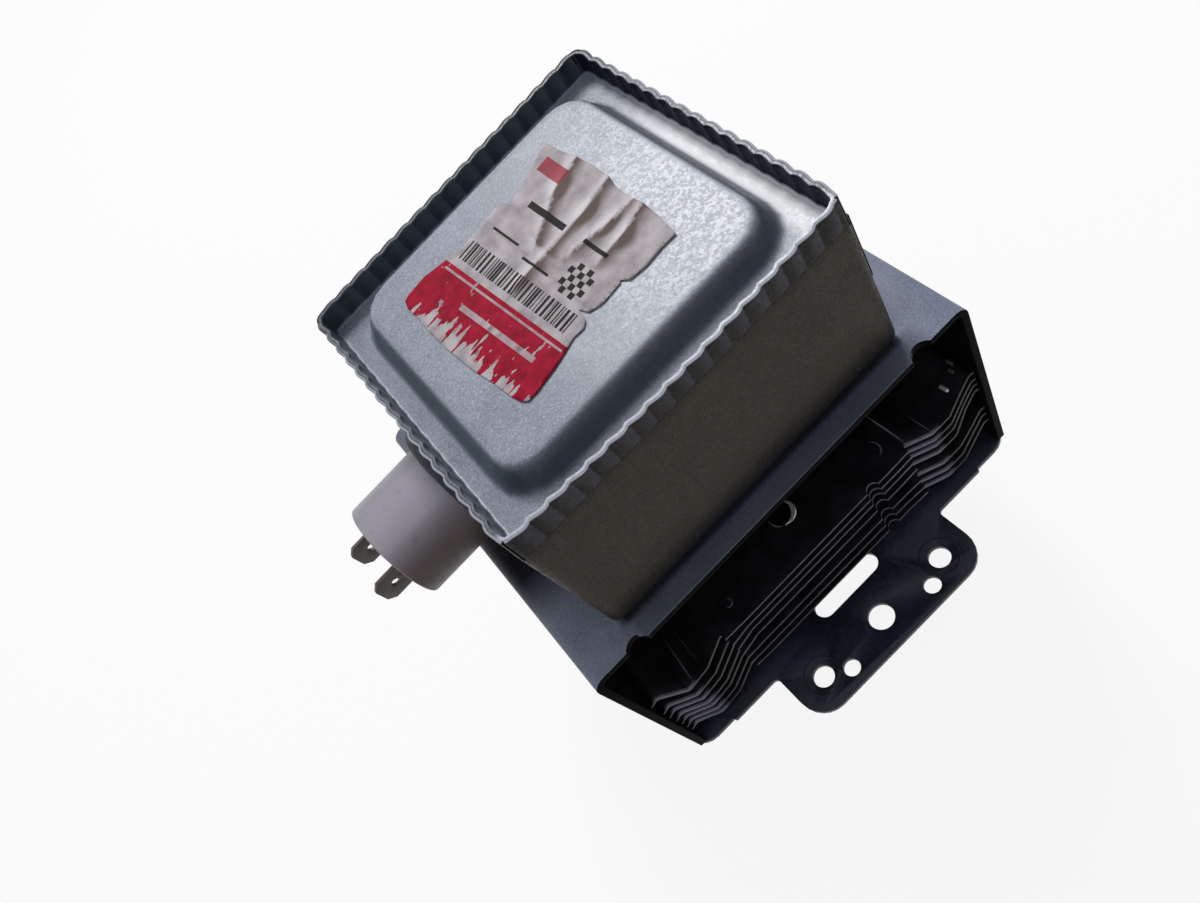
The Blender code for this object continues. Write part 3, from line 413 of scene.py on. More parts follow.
def crimp_tree():
    """The crimping tool: it pushes the wall out and in, in lobes that fade out at the band's foot."""
    sizes = ("End X", "End Y", "Foot", "Height", "Depth", "Front Depth", "Front Bow", "Lean", "Unevenness")
    tree, tool = node_tool("crimp", {
        "Waves X": "NodeSocketInt", "Waves Y": "NodeSocketInt", "Finish": "NodeSocketMaterial",
        **dict.fromkeys(sizes, "NodeSocketFloat")})
    place = node(tree, "GeometryNodeInputPosition").outputs[0]
    axes = node(tree, "ShaderNodeSeparateXYZ", {0: place}).outputs
    beyond, phases = [], []
    for axis, end, waves in (("X", tool["End X"], tool["Waves X"]), ("Y", tool["End Y"], tool["Waves Y"])):
        low = times(end, -1.0)
        held = node(tree, "ShaderNodeClamp", {"Value": axes[axis], "Min": low, "Max": end}).outputs[0]
        beyond.append(calc("SUBTRACT", axes[axis], held))
        share = calc("DIVIDE", calc("ADD", held, end), times(end, 2.0))
        phases.append(calc("FRACT", times(share, waves)))
        if axis == "X":
            middle = calc("SINE", times(share, math.pi))
    outward = node(tree, "ShaderNodeCombineXYZ", {0: beyond[0], 1: beyond[1]}).outputs[0]
    reach = node(tree, "ShaderNodeVectorMath", {0: outward}, operation="LENGTH").outputs["Value"]
    hold = node(tree, "ShaderNodeClamp", {"Value": calc("DIVIDE", reach, 0.7 * MM)}).outputs[0]
    front = node(tree, "ShaderNodeClamp", {"Value": calc("DIVIDE", beyond[1], -0.7 * MM)}).outputs[0]
    up = node(tree, "ShaderNodeClamp", {
        "Value": calc("DIVIDE", calc("SUBTRACT", axes["Z"], tool["Foot"]), tool["Height"])}).outputs[0]
    phase = calc("MAXIMUM", *phases)
    crest = calc("SINE", times(calc("POWER", phase, tool["Lean"]), math.pi))
    wobble = node(tree, "ShaderNodeTexNoise", {"Vector": place, "Scale": 1 / (7 * MM), "Detail": 1.0}).outputs["Fac"]
    uneven = calc("MULTIPLY_ADD", calc("SUBTRACT", wobble, 0.5), tool["Unevenness"], 1.0)
    deep = times(calc("MULTIPLY_ADD", front, tool["Front Depth"], tool["Depth"]), uneven)
    lobe = times(calc("SUBTRACT", calc("POWER", crest, 0.8), 0.5), deep)
    bow = times(middle, front, tool["Front Bow"])
    push = times(lobe, calc("POWER", up, 0.6), hold)
    push = calc("MULTIPLY_ADD", bow, up, push)
    fade = times(hold, calc("MINIMUM", times(up, 12.0), 1.0))
    # The place across each lobe, kept as crimp_flank so that the materials can paint a highlight on one flank and
    # shade on the other.
    shown = calc("MULTIPLY_ADD", calc("SUBTRACT", phase, 0.5), fade, 0.5)
    move = node(tree, "ShaderNodeVectorMath", {
        0: node(tree, "ShaderNodeVectorMath", {0: outward}, operation="NORMALIZE").outputs[0], "Scale": push,
    }, operation="SCALE").outputs[0]
    marked = node(tree, "GeometryNodeStoreNamedAttribute", {
        "Geometry": tool["Geometry"], "Name": "crimp_flank", "Value": shown}, data_type="FLOAT", domain="POINT")
    moved = node(tree, "GeometryNodeSetPosition", {"Geometry": marked.outputs[0], "Offset": move})
    end_with(tree, moved.outputs[0], tool["Finish"])
    return tree


def place_on(tree, axis):
    """A point's place on the object along an axis."""
    return node(tree, "ShaderNodeSeparateXYZ", {0: node(tree, "ShaderNodeTexCoord").outputs["Object"]}).outputs[axis]


def crimp_shade(tree, plate):
    """Painted light and shade on the tub: a painted highlight on one flank of each lobe and painted shade on the
    other, the band darker as a whole, a painted shadow line in the groove at the band's foot, painted shade and a
    painted bluish reflection of the yoke at the wall's foot, painted shade at both front corners, and a painted
    highlight on the rim except along the back. Under it lies a random olive and mauve stain.
    """
    flank = node(tree, "ShaderNodeAttribute", attribute_name="crimp_flank").outputs["Fac"]
    across, along, height = (place_on(tree, axis) for axis in "XYZ")
    stain = between(stepped(grain(tree, 1.8, 3.0), 0.42, 0.58), shade(98, 102, 80), shade(108, 90, 96))
    in_band = ramp(height, band_foot - 0.05, band_foot + 0.10)
    # Painted highlight on one flank of each lobe, painted shade on the other.
    bright = times(stepped(flank, 0.34, 0.92, 0.0, 0.85), in_band)
    dark = times(stepped(flank, 0.04, 0.36, 0.98, 0.0), in_band, ramp(height, band_foot, band_foot + 4, 0.65, 1.0))
    # Painted shadow in the groove along the band's foot.
    off_foot = calc("ABSOLUTE", calc("SUBTRACT", height, (band_foot - 0.10) * MM))
    # Painted shade, near black, at the lapped front corner.
    lap_corner_shade = times(ramp(across, 35.0, 35.2), ramp(along, -33, -34), ramp(height, 57, 62), 0.95)
    # Painted shade down the other front corner.
    left = times(ramp(across, -35.6, -34.6, 0.85, 0.0), ramp(along, -34.6, -33.6, 1.0, 0.0))
    # Painted highlight along the rim, except at the back.
    rim = times(ramp(height, box_rim - 0.30, box_rim - 0.10, 0.0, 0.9), ramp(along, 20, 32, 1.0, 0.0))
    # The band is darker as a whole; the wall's foot gets painted shade and a painted bluish reflection of the yoke.
    return layered(
        plate, (0.28, stain), (times(in_band, 0.78), shade(46, 42, 40)), (bright, shade(136, 134, 148)),
        (dark, shade(10, 9, 10)), (ramp(off_foot, 0.08, 0.20, 0.85, 0.0), shade(22, 20, 22)),
        (ramp(height, box_bottom + 0.6, box_bottom + 7, 0.95, 0.0), shade(26, 30, 46)), (lap_corner_shade, shade(8, 8, 10)),
        (left, shade(42, 40, 36)), (rim, shade(176, 180, 192)))


# The tub's plate is olive zinc, darkened as painted shade for the dark surroundings that it reflects.
box_zinc = zinc("box_zinc", shade(56, 52, 45), shade(150, 141, 124), shade(196, 186, 168), 0.5, 0.15, 10, 0.6, 0.5,
                crimp_shade)
crimp = crimp_tree()
crimp_sizes = dict(end_x=(box_half_x - box_corner) * MM, end_y=(box_half_y - box_corner) * MM, waves_x=waves_x,
                   waves_y=waves_y, foot=band_foot * MM, height=(box_rim - band_foot) * MM, depth=wave_height * MM,
                   front_depth=0.02 * MM, front_bow=1.2 * MM, lean=1.6, unevenness=0.4)


def level(points, z):
    """Flat points at a height."""
    return [(x, y, z) for x, y in points]


def quarter_turn(inset, foot, radius, steps):
    """A bend from the flat floor up to the wall, in and up from its corner."""
    angles = (math.pi / 2 * step / steps for step in range(steps + 1))
    return [(inset + radius * (1 - math.sin(a)), foot + radius * (1 - math.cos(a))) for a in angles]


rows = quarter_turn(0, box_bottom, box_bend, 5) + [(0.0, z) for z in (58.0, 64.0, 70.0, 76.0, 82.0, 87.0)]
rows += [(0.0, band_foot - 0.45), (0.10, band_foot - 0.22), (0.10, band_foot - 0.08), (0.0, band_foot + 0.05)]
band_high = box_rim - band_foot
rows += [(0.0, band_foot + share * band_high) for share in (0.06, 0.12, 0.2, 0.3, 0.42, 0.56, 0.72, 0.86, 0.96)]
rows += [(0.08, box_rim - 0.05), (box_sheet / 2, box_rim), (box_sheet - 0.08, box_rim - 0.05)]
rows += [(box_sheet, band_foot + share * band_high) for share in (0.96, 0.72, 0.42, 0.2, 0.06)]
rows += [(box_sheet, z) for z in (87.0, 72.0, 58.0)]
rows += quarter_turn(box_sheet, box_bottom + box_sheet, box_bend - box_sheet, 5)[::-1]
filter_tub = skinned("filter_tub", [level(outline(inset), z) for inset, z in rows])
worked(filter_tub, crimp, finish=box_zinc, **crimp_sizes)
connector_z = 72.3
connector_hole, tube_hole = 9.15, 10.2
slit = 0.5
slit_low, slit_high = (-4, -slit / 2, band_foot - 1), (4, slit / 2, box_rim + 1)
corner_cuts = [block(slit_low, slit_high, math.atan2(-1, side), (side * (box_half_x - 1), 1 - box_half_y))
               for side in (1, -1)]
cut(filter_tub, round_bar((0, connector_z), connector_hole, -40, -30, "X"),
    round_bar((0, 0), tube_hole, box_bottom - 1, box_bottom + 2), *corner_cuts)
lap_strip = block((box_half_x - 0.1, -33.6, 71.8), (box_half_x + 0.6, -25.6, 88.3))
lap_strip.name = "filter_tub_lap"
soften(lap_strip, 0.18)
# Painted shade: a near-black finish for faces in deep shadow, here the lap's edge and below the yoke's inner faces and
# cut edges.
bare_steel, _, shader = mottled("bare_steel", shade(5, 5, 7), shade(14, 14, 17), 3, 4.0, 0.6)
shader.inputs["Specular IOR Level"].default_value = 0.02
lap_strip.data.materials.append(bare_steel)
for piece in (filter_tub, lap_strip):
    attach(piece, "root")
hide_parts("filter_box")


# The lid: one pressed sheet with a square raised field. A gutter runs round the field, and the lid's
# edge turns up out of the gutter and is crimped together with the mouth of the tub.
def lid_painted_light(tree, plate):
    """Painted light and shade on the lid: a painted highlight over the raised field towards its +X, -Y corner and in
    the gutter along the +X side and the front, painted shade on the slopes and the upturned wall, and a painted
    highlight on the rim at the front with painted shade on the rim elsewhere."""
    faces = node(tree, "ShaderNodeSeparateXYZ", {0: node(tree, "ShaderNodeNewGeometry").outputs["Normal"]}).outputs
    slope = calc("ABSOLUTE", faces["Z"])
    across, along, height = (place_on(tree, axis) for axis in "XYZ")
    # Painted highlight over the field, towards its +X, -Y corner, with a fine speckle.
    field_highlight = times(ramp(across, -16, 8, 0.0, 0.36), ramp(along, -2, 20, 1.0, 0.2),
                   stepped(grain(tree, 0.9, 3.0), 0.40, 0.62, 0.55, 1.0))
    # Painted highlight in the gutter along the +X side and along the front.
    side_gutter = times(ramp(across, 28.5, 31.0), ramp(along, 4, 22, 0.9, 0.0))
    front_gutter = ramp(along, -33.4, -31.8, 0.75, 0.0)
    gutter = times(calc("MAXIMUM", side_gutter, front_gutter), ramp(height, 91.5, 93.5, 1.0, 0.0))
    # Painted shade on the slopes, darker where they face -Y and +X.
    slope_shade = between(stepped(faces["Y"], -0.55, -0.20, 1.0, 0.0), shade(86, 102, 112), shade(46, 58, 68))
    slope_shade = between(stepped(faces["X"], 0.15, 0.35), slope_shade, shade(46, 60, 68))
    # Painted shade on the upturned wall, darker on one flank of each lobe.
    flank = node(tree, "ShaderNodeAttribute", attribute_name="crimp_flank").outputs["Fac"]
    wall = between(stepped(flank, 0.25, 0.75), shade(38, 52, 60), shade(72, 86, 94))
    # Painted highlight on the rim at the front, painted shade on the rim elsewhere.
    edge = calc("MAXIMUM", ramp(calc("ABSOLUTE", across), 34.3, 34.6), ramp(calc("ABSOLUTE", along), 33.9, 34.2))
    rim = times(edge, ramp(height, 94.35, 94.7, 0.0, 0.95), stepped(grain(tree, 0.6, 2.0), 0.36, 0.62, 0.62, 1.0))
    rim_tone = between(ramp(along, -33.9, -32.5), shade(206, 210, 222), shade(60, 70, 78))
    return layered(
        plate, (field_highlight, shade(238, 242, 250)), (gutter, shade(250, 252, 255)),
        (stepped(slope, 0.58, 0.90, 0.85, 0.0), slope_shade), (stepped(slope, 0.25, 0.62, 0.9, 0.0), wall), (rim, rim_tone))


lid_zinc = zinc("lid_zinc", shade(114, 121, 136), shade(172, 178, 194), shade(232, 236, 244), 0.40, 0.5, 9,
                worn=lid_painted_light)
gutter_z = 89.9
wall_outer, wall_inner = 0.40, 1.15
slope_foot, slope_top = (31.5, 31.3), (27.4, 27.2)
field_z = 94.9
lid_sheet = 0.5


def slope_rows(drop):
    """The outlines of the raised field's slope, from the gutter up, drop below the lid's upper face."""
    made = []
    for step in range(13):
        share = step / 12
        rise = share * share * (3 - 2 * share)
        grow = 0.35 * drop
        half = tuple(f + (t - f) * share - grow for f, t in zip(slope_foot, slope_top))
        made.append(level(outline(0, 9.0 - 3.0 * share, half), gutter_z + (field_z - gutter_z) * rise - drop))
    return made


def field_rows(drop):
    """The outlines in which the raised field closes towards its middle."""
    return [level(outline(0, corner, (half, half)), field_z - drop)
            for half, corner in ((26.2, 5.4), (22.0, 4.0), (14.0, 3.0), (6.0, 2.0))]


lid_rows = [level(outline(wall_outer), z) for z in (gutter_z - lid_sheet, 90.4, 91.2, 92.2, 93.2, 94.2, 94.7)]
lid_rows += [level(outline(wall_outer + 0.1), 94.86), level(outline((wall_outer + wall_inner) / 2), 94.9),
             level(outline(wall_inner - 0.1), 94.86)]
lid_rows += [level(outline(wall_inner), z) for z in (94.7, 94.2, 93.4, 92.6, 91.8, 91.1, 90.6)]
for step in range(1, 6):
    bend = math.radians(18 * step)
    lid_rows.append(level(outline(wall_inner + 0.6 * (1 - math.cos(bend))), gutter_z + 0.6 * (1 - math.sin(bend))))
lid_rows.append(level(outline(2.6, 2.5), gutter_z))
lid_rows += slope_rows(0.0) + field_rows(0.0)
under = [level(outline(2.6, 2.5), gutter_z - lid_sheet)] + slope_rows(lid_sheet) + field_rows(lid_sheet)
closing = [level(outline(wall_outer), gutter_z - lid_sheet)] + under
lid_press = skinned("lid_press", list(reversed(closing))[:-1] + lid_rows)
worked(lid_press, crimp, finish=lid_zinc, **crimp_sizes)
# Painted shade: a darker copy of the zinc for the inner face of the upturned wall on the +X side, which faces away
# from the lamp.
drawn_wall = zinc("drawn_wall", shade(16, 24, 32), shade(30, 40, 50), shade(60, 72, 82), 0.5, 0.06)
lid_press.data.materials.append(drawn_wall)
for face in lid_press.data.polygons:
    if face.normal.x < -0.4 and face.center.x > 30 * MM and 90.4 * MM < face.center.z < 94.75 * MM:
        face.material_index = 1
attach(lid_press, "root")
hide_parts("filter_box_lid")


# The label: a coated paper sticker on the raised field. It has been peeled and smoothed down again, so
# it is creased, its right edge is torn in steps and the foot of its crimson field is worn through.
label_left_foot, label_right_foot = Vector((-21.5, 18.6)), Vector((-17.3, -19.6))
label_left_top, label_right_top = Vector((17.7, 22.0)), Vector((17.6, -16.6))
label_foot, label_thick = 94.97, 0.09
label_edge = (
    (0.99, 0.00), (1.00, 0.12), (1.02, 0.24), (1.03, 0.36), (1.03, 0.49), (1.01, 0.56), (1.01, 0.69),
    (1.02, 0.75), (1.01, 0.88), (0.99, 1.01), (0.90, 1.00), (0.79, 1.00), (0.70, 0.98), (0.67, 0.94),
    (0.66, 0.95), (0.61, 0.95), (0.55, 0.95), (0.51, 0.94), (0.47, 0.92), (0.455, 0.87), (0.44, 0.92),
    (0.43, 0.94), (0.40, 0.96), (0.34, 0.95), (0.29, 0.96), (0.24, 0.97), (0.18, 0.98), (0.10, 0.985),
    (0.04, 0.99), (-0.01, 0.985), (-0.03, 0.96), (-0.04, 0.90), (-0.04, 0.77), (-0.05, 0.61), (-0.04, 0.41),
    (-0.03, 0.28), (-0.01, 0.14), (0.00, 0.03), (0.02, -0.02), (0.05, -0.03), (0.16, -0.03), (0.25, 0.00),
    (0.32, 0.02), (0.37, 0.04), (0.42, 0.04), (0.46, 0.05), (0.53, 0.04), (0.60, 0.04), (0.635, 0.02),
    (0.66, 0.09), (0.69, 0.085), (0.73, 0.09), (0.80, 0.06), (0.90, 0.03),
)
label_folds = (
    ((1.02, 0.24), (0.86, 0.27), (0.60, 0.40), 0.34), ((1.03, 0.49), (0.84, 0.51), (0.39, 0.49), 0.38),
    ((1.01, 0.69), (0.85, 0.67), (0.67, 0.62), 0.26), ((1.02, 0.75), (0.85, 0.78), (0.72, 0.78), 0.26),
    ((0.28, 0.27), (0.14, 0.26), (0.01, 0.25), 0.10), ((0.28, 0.49), (0.14, 0.53), (0.00, 0.57), 0.12),
    ((0.29, 0.61), (0.16, 0.59), (0.04, 0.57), 0.10), ((0.29, 0.74), (0.16, 0.735), (0.02, 0.73), 0.10),
    ((0.52, 0.05), (0.50, 0.40), (0.47, 0.92), 0.10), ((0.66, 0.09), (0.58, 0.45), (0.55, 0.95), 0.07),
)


def label_point(up, across):
    """Where a place on the label, 0 to 1 both ways, lies on the lid."""
    foot = label_left_foot.lerp(label_right_foot, across)
    return foot.lerp(label_left_top.lerp(label_right_top, across), up)


def from_line(point, start, end):
    """How far a point lies from a line between two points, all on the label."""
    way = Vector(end) - Vector(start)
    along = max(0.0, min(1.0, (Vector(point) - Vector(start)).dot(way) / way.dot(way)))
    return (Vector(point) - Vector(start) - way * along).length


def label_height(up, across):
    """How high the paper stands off the field: a ridge over each fold, and a lifted right edge."""
    height = 0.02
    for start, middle, end, ridge in label_folds:
        off = min(from_line((up, across), start, middle), from_line((up, across), middle, end))
        height = max(height, ridge * max(0.0, 1 - off / 0.045) + 0.02)
    height += 0.20 * max(0.0, across - 0.86) / 0.14
    return min(height, 0.31)


def label_shading(up, across):
    """Above 0.5 on the side of a fold that gets a painted highlight, below on the side that gets painted shade."""
    shading = 0.5
    for start, middle, end, ridge in label_folds:
        for first, last in ((start, middle), (middle, end)):
            off = from_line((up, across), first, last)
            way = Vector(last) - Vector(first)
            side = way.x * (across - first[1]) - way.y * (up - first[0])
            reach = 0.09 if ridge > 0.2 else 0.05
            amount = min(1.0, ridge * 3.5) * max(0.0, 1 - off / reach) * (1.0 if off > 0.004 else 0.3)
            shading += 0.5 * (-amount if side < 0 else 0.6 * amount)
    return max(0.0, min(1.0, shading))


steps = 56
edge_points = []
for start, end in zip(label_edge, label_edge[1:] + label_edge[:1]):
    count = max(1, round((Vector(end) - Vector(start)).length / 0.012))
    for step in range(count):
        edge_points.append(Vector(start).lerp(Vector(end), step / count))
grid_points = [Vector((u / steps, v / steps)) for u in range(-2, steps + 3) for v in range(-2, steps + 2)]
grid_points += [Vector(start).lerp(Vector(end), step / 24) for line in label_folds
                for start, end in ((line[0], line[1]), (line[1], line[2])) for step in range(25)]
border = [(i, (i + 1) % len(edge_points)) for i in range(len(edge_points))]
found, _, fields, *_ = delaunay_2d_cdt(edge_points + grid_points, border, [list(range(len(edge_points)))], 1, 1e-4)
shape = bmesh.new()
uv = shape.loops.layers.uv.new("label_uv")
tops, feet = ([shape.verts.new(Vector((*label_point(*p), label_foot + label_height(*p) + over)) * MM) for p in found]
              for over in (label_thick, 0.0))
place_of = {vert: p for verts in (tops, feet) for vert, p in zip(verts, found)}
for field in fields:
    shape.faces.new([tops[i] for i in field])
    shape.faces.new([feet[i] for i in reversed(field)])
below = dict(zip(tops, feet))
for edge in [edge for edge in shape.edges if len(edge.link_faces) == 1 and edge.verts[0] in below]:
    first, second = edge.verts
    if edge.link_loops[0].vert != first:
        first, second = second, first
    shape.faces.new((second, first, below[first], below[second]))
bmesh.ops.delete(shape, geom=[vert for vert in shape.verts if not vert.link_faces], context="VERTS")
bmesh.ops.recalc_face_normals(shape, faces=shape.faces)
for face in shape.faces:
    face.smooth = True
    for loop in face.loops:
        loop[uv].uv = place_of[loop.vert]
shades = [label_shading(*place_of[vert]) for vert in shape.verts]
label_sticker = placed("label_sticker", [])
shape.to_mesh(label_sticker.data)
shape.free()
label_sticker.data.attributes.new("label_fold", "FLOAT", "POINT").data.foreach_set("value", shades)

label_finish, tree, shader = new_finish("label_paper_and_ink", 0.6)
shader.inputs["Specular IOR Level"].default_value = 0.10
spot = node(tree, "ShaderNodeSeparateXYZ", {0: node(tree, "ShaderNodeUVMap", uv_map="label_uv").outputs[0]}).outputs
up, across = spot["X"], spot["Y"]


def patch(low_up, high_up, low_across, high_across):
    """1 inside a straight-sided patch of the label."""
    inside = None
    for value, low, high in ((up, low_up, high_up), (across, low_across, high_across)):
        within = times(calc("GREATER_THAN", value, low), calc("LESS_THAN", value, high))
        inside = within if inside is None else times(inside, within)
    return inside


soil = stepped(grain(tree, 3.0, 4.0), 0.35, 0.72)
paper = between(soil, shade(202, 194, 198), shade(160, 152, 158))
torn = calc("MULTIPLY_ADD", grain(tree, 1.5, 3.0, (0.22, 1.0, 1.0)), 0.46, stepped(across, 0.2, 0.8, -0.180, -0.245))
torn = calc("ADD", torn, stepped(across, 0.01, 0.12, -0.14, 0.0))
field = times(calc("LESS_THAN", up, 0.285), calc("GREATER_THAN", up, torn))
worn = calc("LESS_THAN", grain(tree, 1.1, 3.0, (0.5, 1.0, 1.0)), 0.315)
field = times(field, calc("SUBTRACT", 1.0, worn))


# Two plain pale rules cross the crimson field. Above it lie a row of uneven stripes, a patch of even
# checks, four dark bars and one crimson block.
for rule in (patch(0.250, 0.262, 0.04, 0.95), patch(0.135, 0.165, 0.30, 0.86)):
    field = times(field, calc("MULTIPLY_ADD", rule, -0.8, 1.0))
ink = between(stepped(grain(tree, 2.0, 3.0), 0.3, 0.7), shade(142, 2, 34), shade(182, 18, 56))
black = shade(8, 8, 10)
stripes = calc("GREATER_THAN", node(tree, "ShaderNodeTexNoise", {
    "W": times(across, 62.0), "Scale": 1.0, "Detail": 0.0}, noise_dimensions="1D").outputs["Fac"], 0.5)
checks = node(tree, "ShaderNodeTexChecker", {
    "Vector": node(tree, "ShaderNodeUVMap", uv_map="label_uv").outputs[0], "Scale": 30.0}).outputs["Fac"]
marks = [times(patch(0.325, 0.43, 0.07, 0.90), stripes),
         times(patch(14 / 30, 19 / 30, 20 / 30, 25 / 30), checks)]
for low_up, high_up, low_across, high_across in (
    (0.700, 0.735, 0.20, 0.49), (0.712, 0.735, 0.63, 0.80), (0.525, 0.538, 0.12, 0.33), (0.490, 0.503, 0.40, 0.60),
):
    marks.append(patch(low_up, high_up, low_across, high_across))
ink_share = marks[0]
for mark in marks[1:]:
    ink_share = calc("MAXIMUM", ink_share, mark)
crimson_block = patch(0.865, 0.945, 0.08, 0.27)
crease = node(tree, "ShaderNodeAttribute", attribute_name="label_fold").outputs["Fac"]
# Painted shade on one side of each fold and a painted highlight on the other.
paper = between(stepped(crease, 0.10, 0.46, 0.95, 0.0), paper, shade(104, 88, 80))
paper = between(stepped(crease, 0.53, 0.86, 0.0, 0.85), paper, shade(232, 228, 232))
paper = between(calc("MAXIMUM", field, times(crimson_block, 0.85)), paper, ink)
paper = between(times(ink_share, 0.97), paper, black)
coloured(shader, paper)
bumped(shader, grain(tree, 1.6, 4.0), 0.10, 0.6)
label_sticker.data.materials.append(label_finish)
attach(label_sticker, "root")
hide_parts("label")


# The connector: a steel collar pressed on the box holds a moulded insulating tube, and the end of the
# feed-through's ceramic body closes the tube round the two blades.
def turned(name, profile, centre, axis="Z", steps=96, closed=True):
    """A solid of revolution. profile is (radius, height) round the section, centre the axis's two places."""
    rings = []
    for radius, height in profile:
        ring = []
        for i in range(steps):
            angle = 2 * math.pi * i / steps
            a, b = centre[0] + radius * math.cos(angle), centre[1] + radius * math.sin(angle)
            ring.append((a, b, height) if axis == "Z" else (height, a, b))
        rings.append(ring)
    return skinned(name, rings, closed)


def rounded(corners, radius, steps=4):
    """A section's corners, each rounded with that radius, or less where its sides are short."""
    made = []
    for i, corner in enumerate(corners):
        here, before, after = Vector(corner), Vector(corners[i - 1]), Vector(corners[(i + 1) % len(corners)])
        reach = min(radius, (before - here).length * 0.45, (after - here).length * 0.45)
        first, last = here + (before - here).normalized() * reach, here + (after - here).normalized() * reach
        for step in range(steps + 1):
            share = step / steps
            made.append(tuple(first.lerp(here, share).lerp(here.lerp(last, share), share)))
    return made


lavender, tree, shader = new_finish("lavender_moulding", 0.42)
faces = node(tree, "ShaderNodeSeparateXYZ", {0: node(tree, "ShaderNodeNewGeometry").outputs["Normal"]}).outputs
# Painted light and shade: the tube is lighter where it faces -Y and darker where it faces +Y.
tint = between(stepped(faces["Y"], -0.60, 0.30), shade(204, 198, 212), shade(150, 145, 157))
tint = between(stepped(grain(tree, 9, 3.0), 0.3, 0.7, 0.0, 0.12), tint, shade(120, 116, 126))
soot = stepped(grain(tree, 2.2, 5.0), 0.60, 0.78, 0.0, 0.35)
tint = between(soot, tint, shade(110, 100, 104))
# Painted shade where it turns furthest towards -Y, and on its underside.
tint = between(stepped(faces["Y"], -0.96, -0.62, 0.88, 0.0), tint, shade(108, 90, 88))
under = stepped(faces["Z"], -0.1, 0.5, 0.75, 0.0)
coloured(shader, between(under, tint, shade(112, 92, 88)))
shader.inputs["Subsurface Weight"].default_value = 0.3
shader.inputs["Subsurface Radius"].default_value = (1.0, 0.85, 0.85)
shader.inputs["Subsurface Scale"].default_value = 4 * MM
rough_by(shader, grain(tree, 1.2, 2.0), 0.36, 0.50)
bumped(shader, grain(tree, 0.7, 3.0), 0.02, 0.5)
centre = (0, connector_z)
tube_section = rounded([(9.6, -55.7), (10.75, -55.7), (10.75, -36.3), (9.6, -36.3)], 0.5)
connector_tube = turned("connector_tube", tube_section, centre, "X")
connector_tube.data.materials.append(lavender)
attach(connector_tube, "root")
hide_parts("capacitor_tube")

# The collar's colour is darkened: painted shade, for the shadow of the box's rim over it.
collar_steel = zinc("collar_steel", shade(52, 56, 62), shade(84, 88, 95), shade(120, 120, 126), 0.5, 0.12)
collar_section = rounded([(11.05, -36.3), (11.05, -39.3), (13.0, -39.3), (14.25, -37.4),
                          (14.25, -36.3)], 0.7)
connector_collar = turned("connector_collar", collar_section, centre, "X")
connector_collar.data.materials.append(collar_steel)
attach(connector_collar, "root")
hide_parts("capacitor_collar")

# The blades: two tinned brass tabs, stamped with chamfered tips, a small locking hole and two shallow
# grooves that run together behind it.
tinned, tree, shader = new_finish("dull_tin", 0.42, 0.25)
scuff = grain(tree, 2.5, 5.0, (0.3, 1.0, 1.0))
tin = between(stepped(scuff, 0.3, 0.7), shade(62, 54, 48), shade(104, 94, 86))
coloured(shader, tin)
rough_by(shader, scuff, 0.34, 0.55)
bumped(shader, grain(tree, 0.4, 3.0, (0.2, 1.0, 1.0)), 0.01, 0.6)
blade_tip, blade_root, blade_half, blade_sheet, blade_chamfer = -62.7, -44.0, 3.175, 0.8, 1.4
blade_off, hole_x, hole_radius = 5.2, -59.0, 0.85
groove_start, groove_off, groove_half, groove_deep = -57.2, 1.0, 0.35, 0.1
for letter, side in (("a", 1), ("b", -1)):
    middle = side * blade_off
    near, far = blade_half - blade_chamfer, blade_tip + blade_chamfer
    outline_xz = ((blade_tip, -near), (far, -blade_half), (blade_root, -blade_half), (blade_root, blade_half),
                  (far, blade_half), (blade_tip, near))
    hole_xz = [(hole_x + hole_radius * math.cos(a), hole_radius * math.sin(a))
               for a in (math.radians(15 * i) for i in range(24))]
    blade, hole = (skinned(name, [[(x, middle + off, connector_z + z) for x, z in points] for off in (-half, half)])
                   for name, points, half in (("tab_blade_" + letter, outline_xz, blade_sheet / 2),
                                              ("hole", hole_xz, 1)))
    grooves = [block((groove_start, middle + face * (blade_sheet / 2 - groove_deep), connector_z + up - groove_half),
                     (-40, middle + face * 0.7, connector_z + up + groove_half))
               for face in (-1, 1) for up in (-groove_off, groove_off)]
    cut(blade, hole, *grooves)
    soften(blade, 0.12)
    blade.data.materials.append(tinned)
    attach(blade, "root")
    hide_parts("blade_terminal_" + letter)


# The cooling fins: seven thin aluminium sheets pressed on the tube. Each is bent down into a valley on
# both sides and up again to the yoke's walls, every one a little differently.
fin_sheet, fin_half, fin_bend = 0.6, 40.4, 1.1
tube_radius, hole_y, hole_radius = 19.3, 29.8, 2.6
notch_x, notch_y, notch_radius = 15.5, 40.7, 1.5
step_x, step_y, above = 25.5, 39.2, 45
fin_rows = ((30.0, 30.2, 30.3, 32.1, 31.3), (27.3, 27.4, 25.9, 29.5, 25.3), (24.8, 25.0, 22.7, 27.5, 22.1),
            (21.5, 21.8, 19.3, 25.3, 18.6), (16.9, 16.4, 16.8, 17.2, 15.7), (13.6, 12.9, 13.7, 14.6, 12.8),
            (10.4, 9.9, 10.9, 11.6, 10.0))


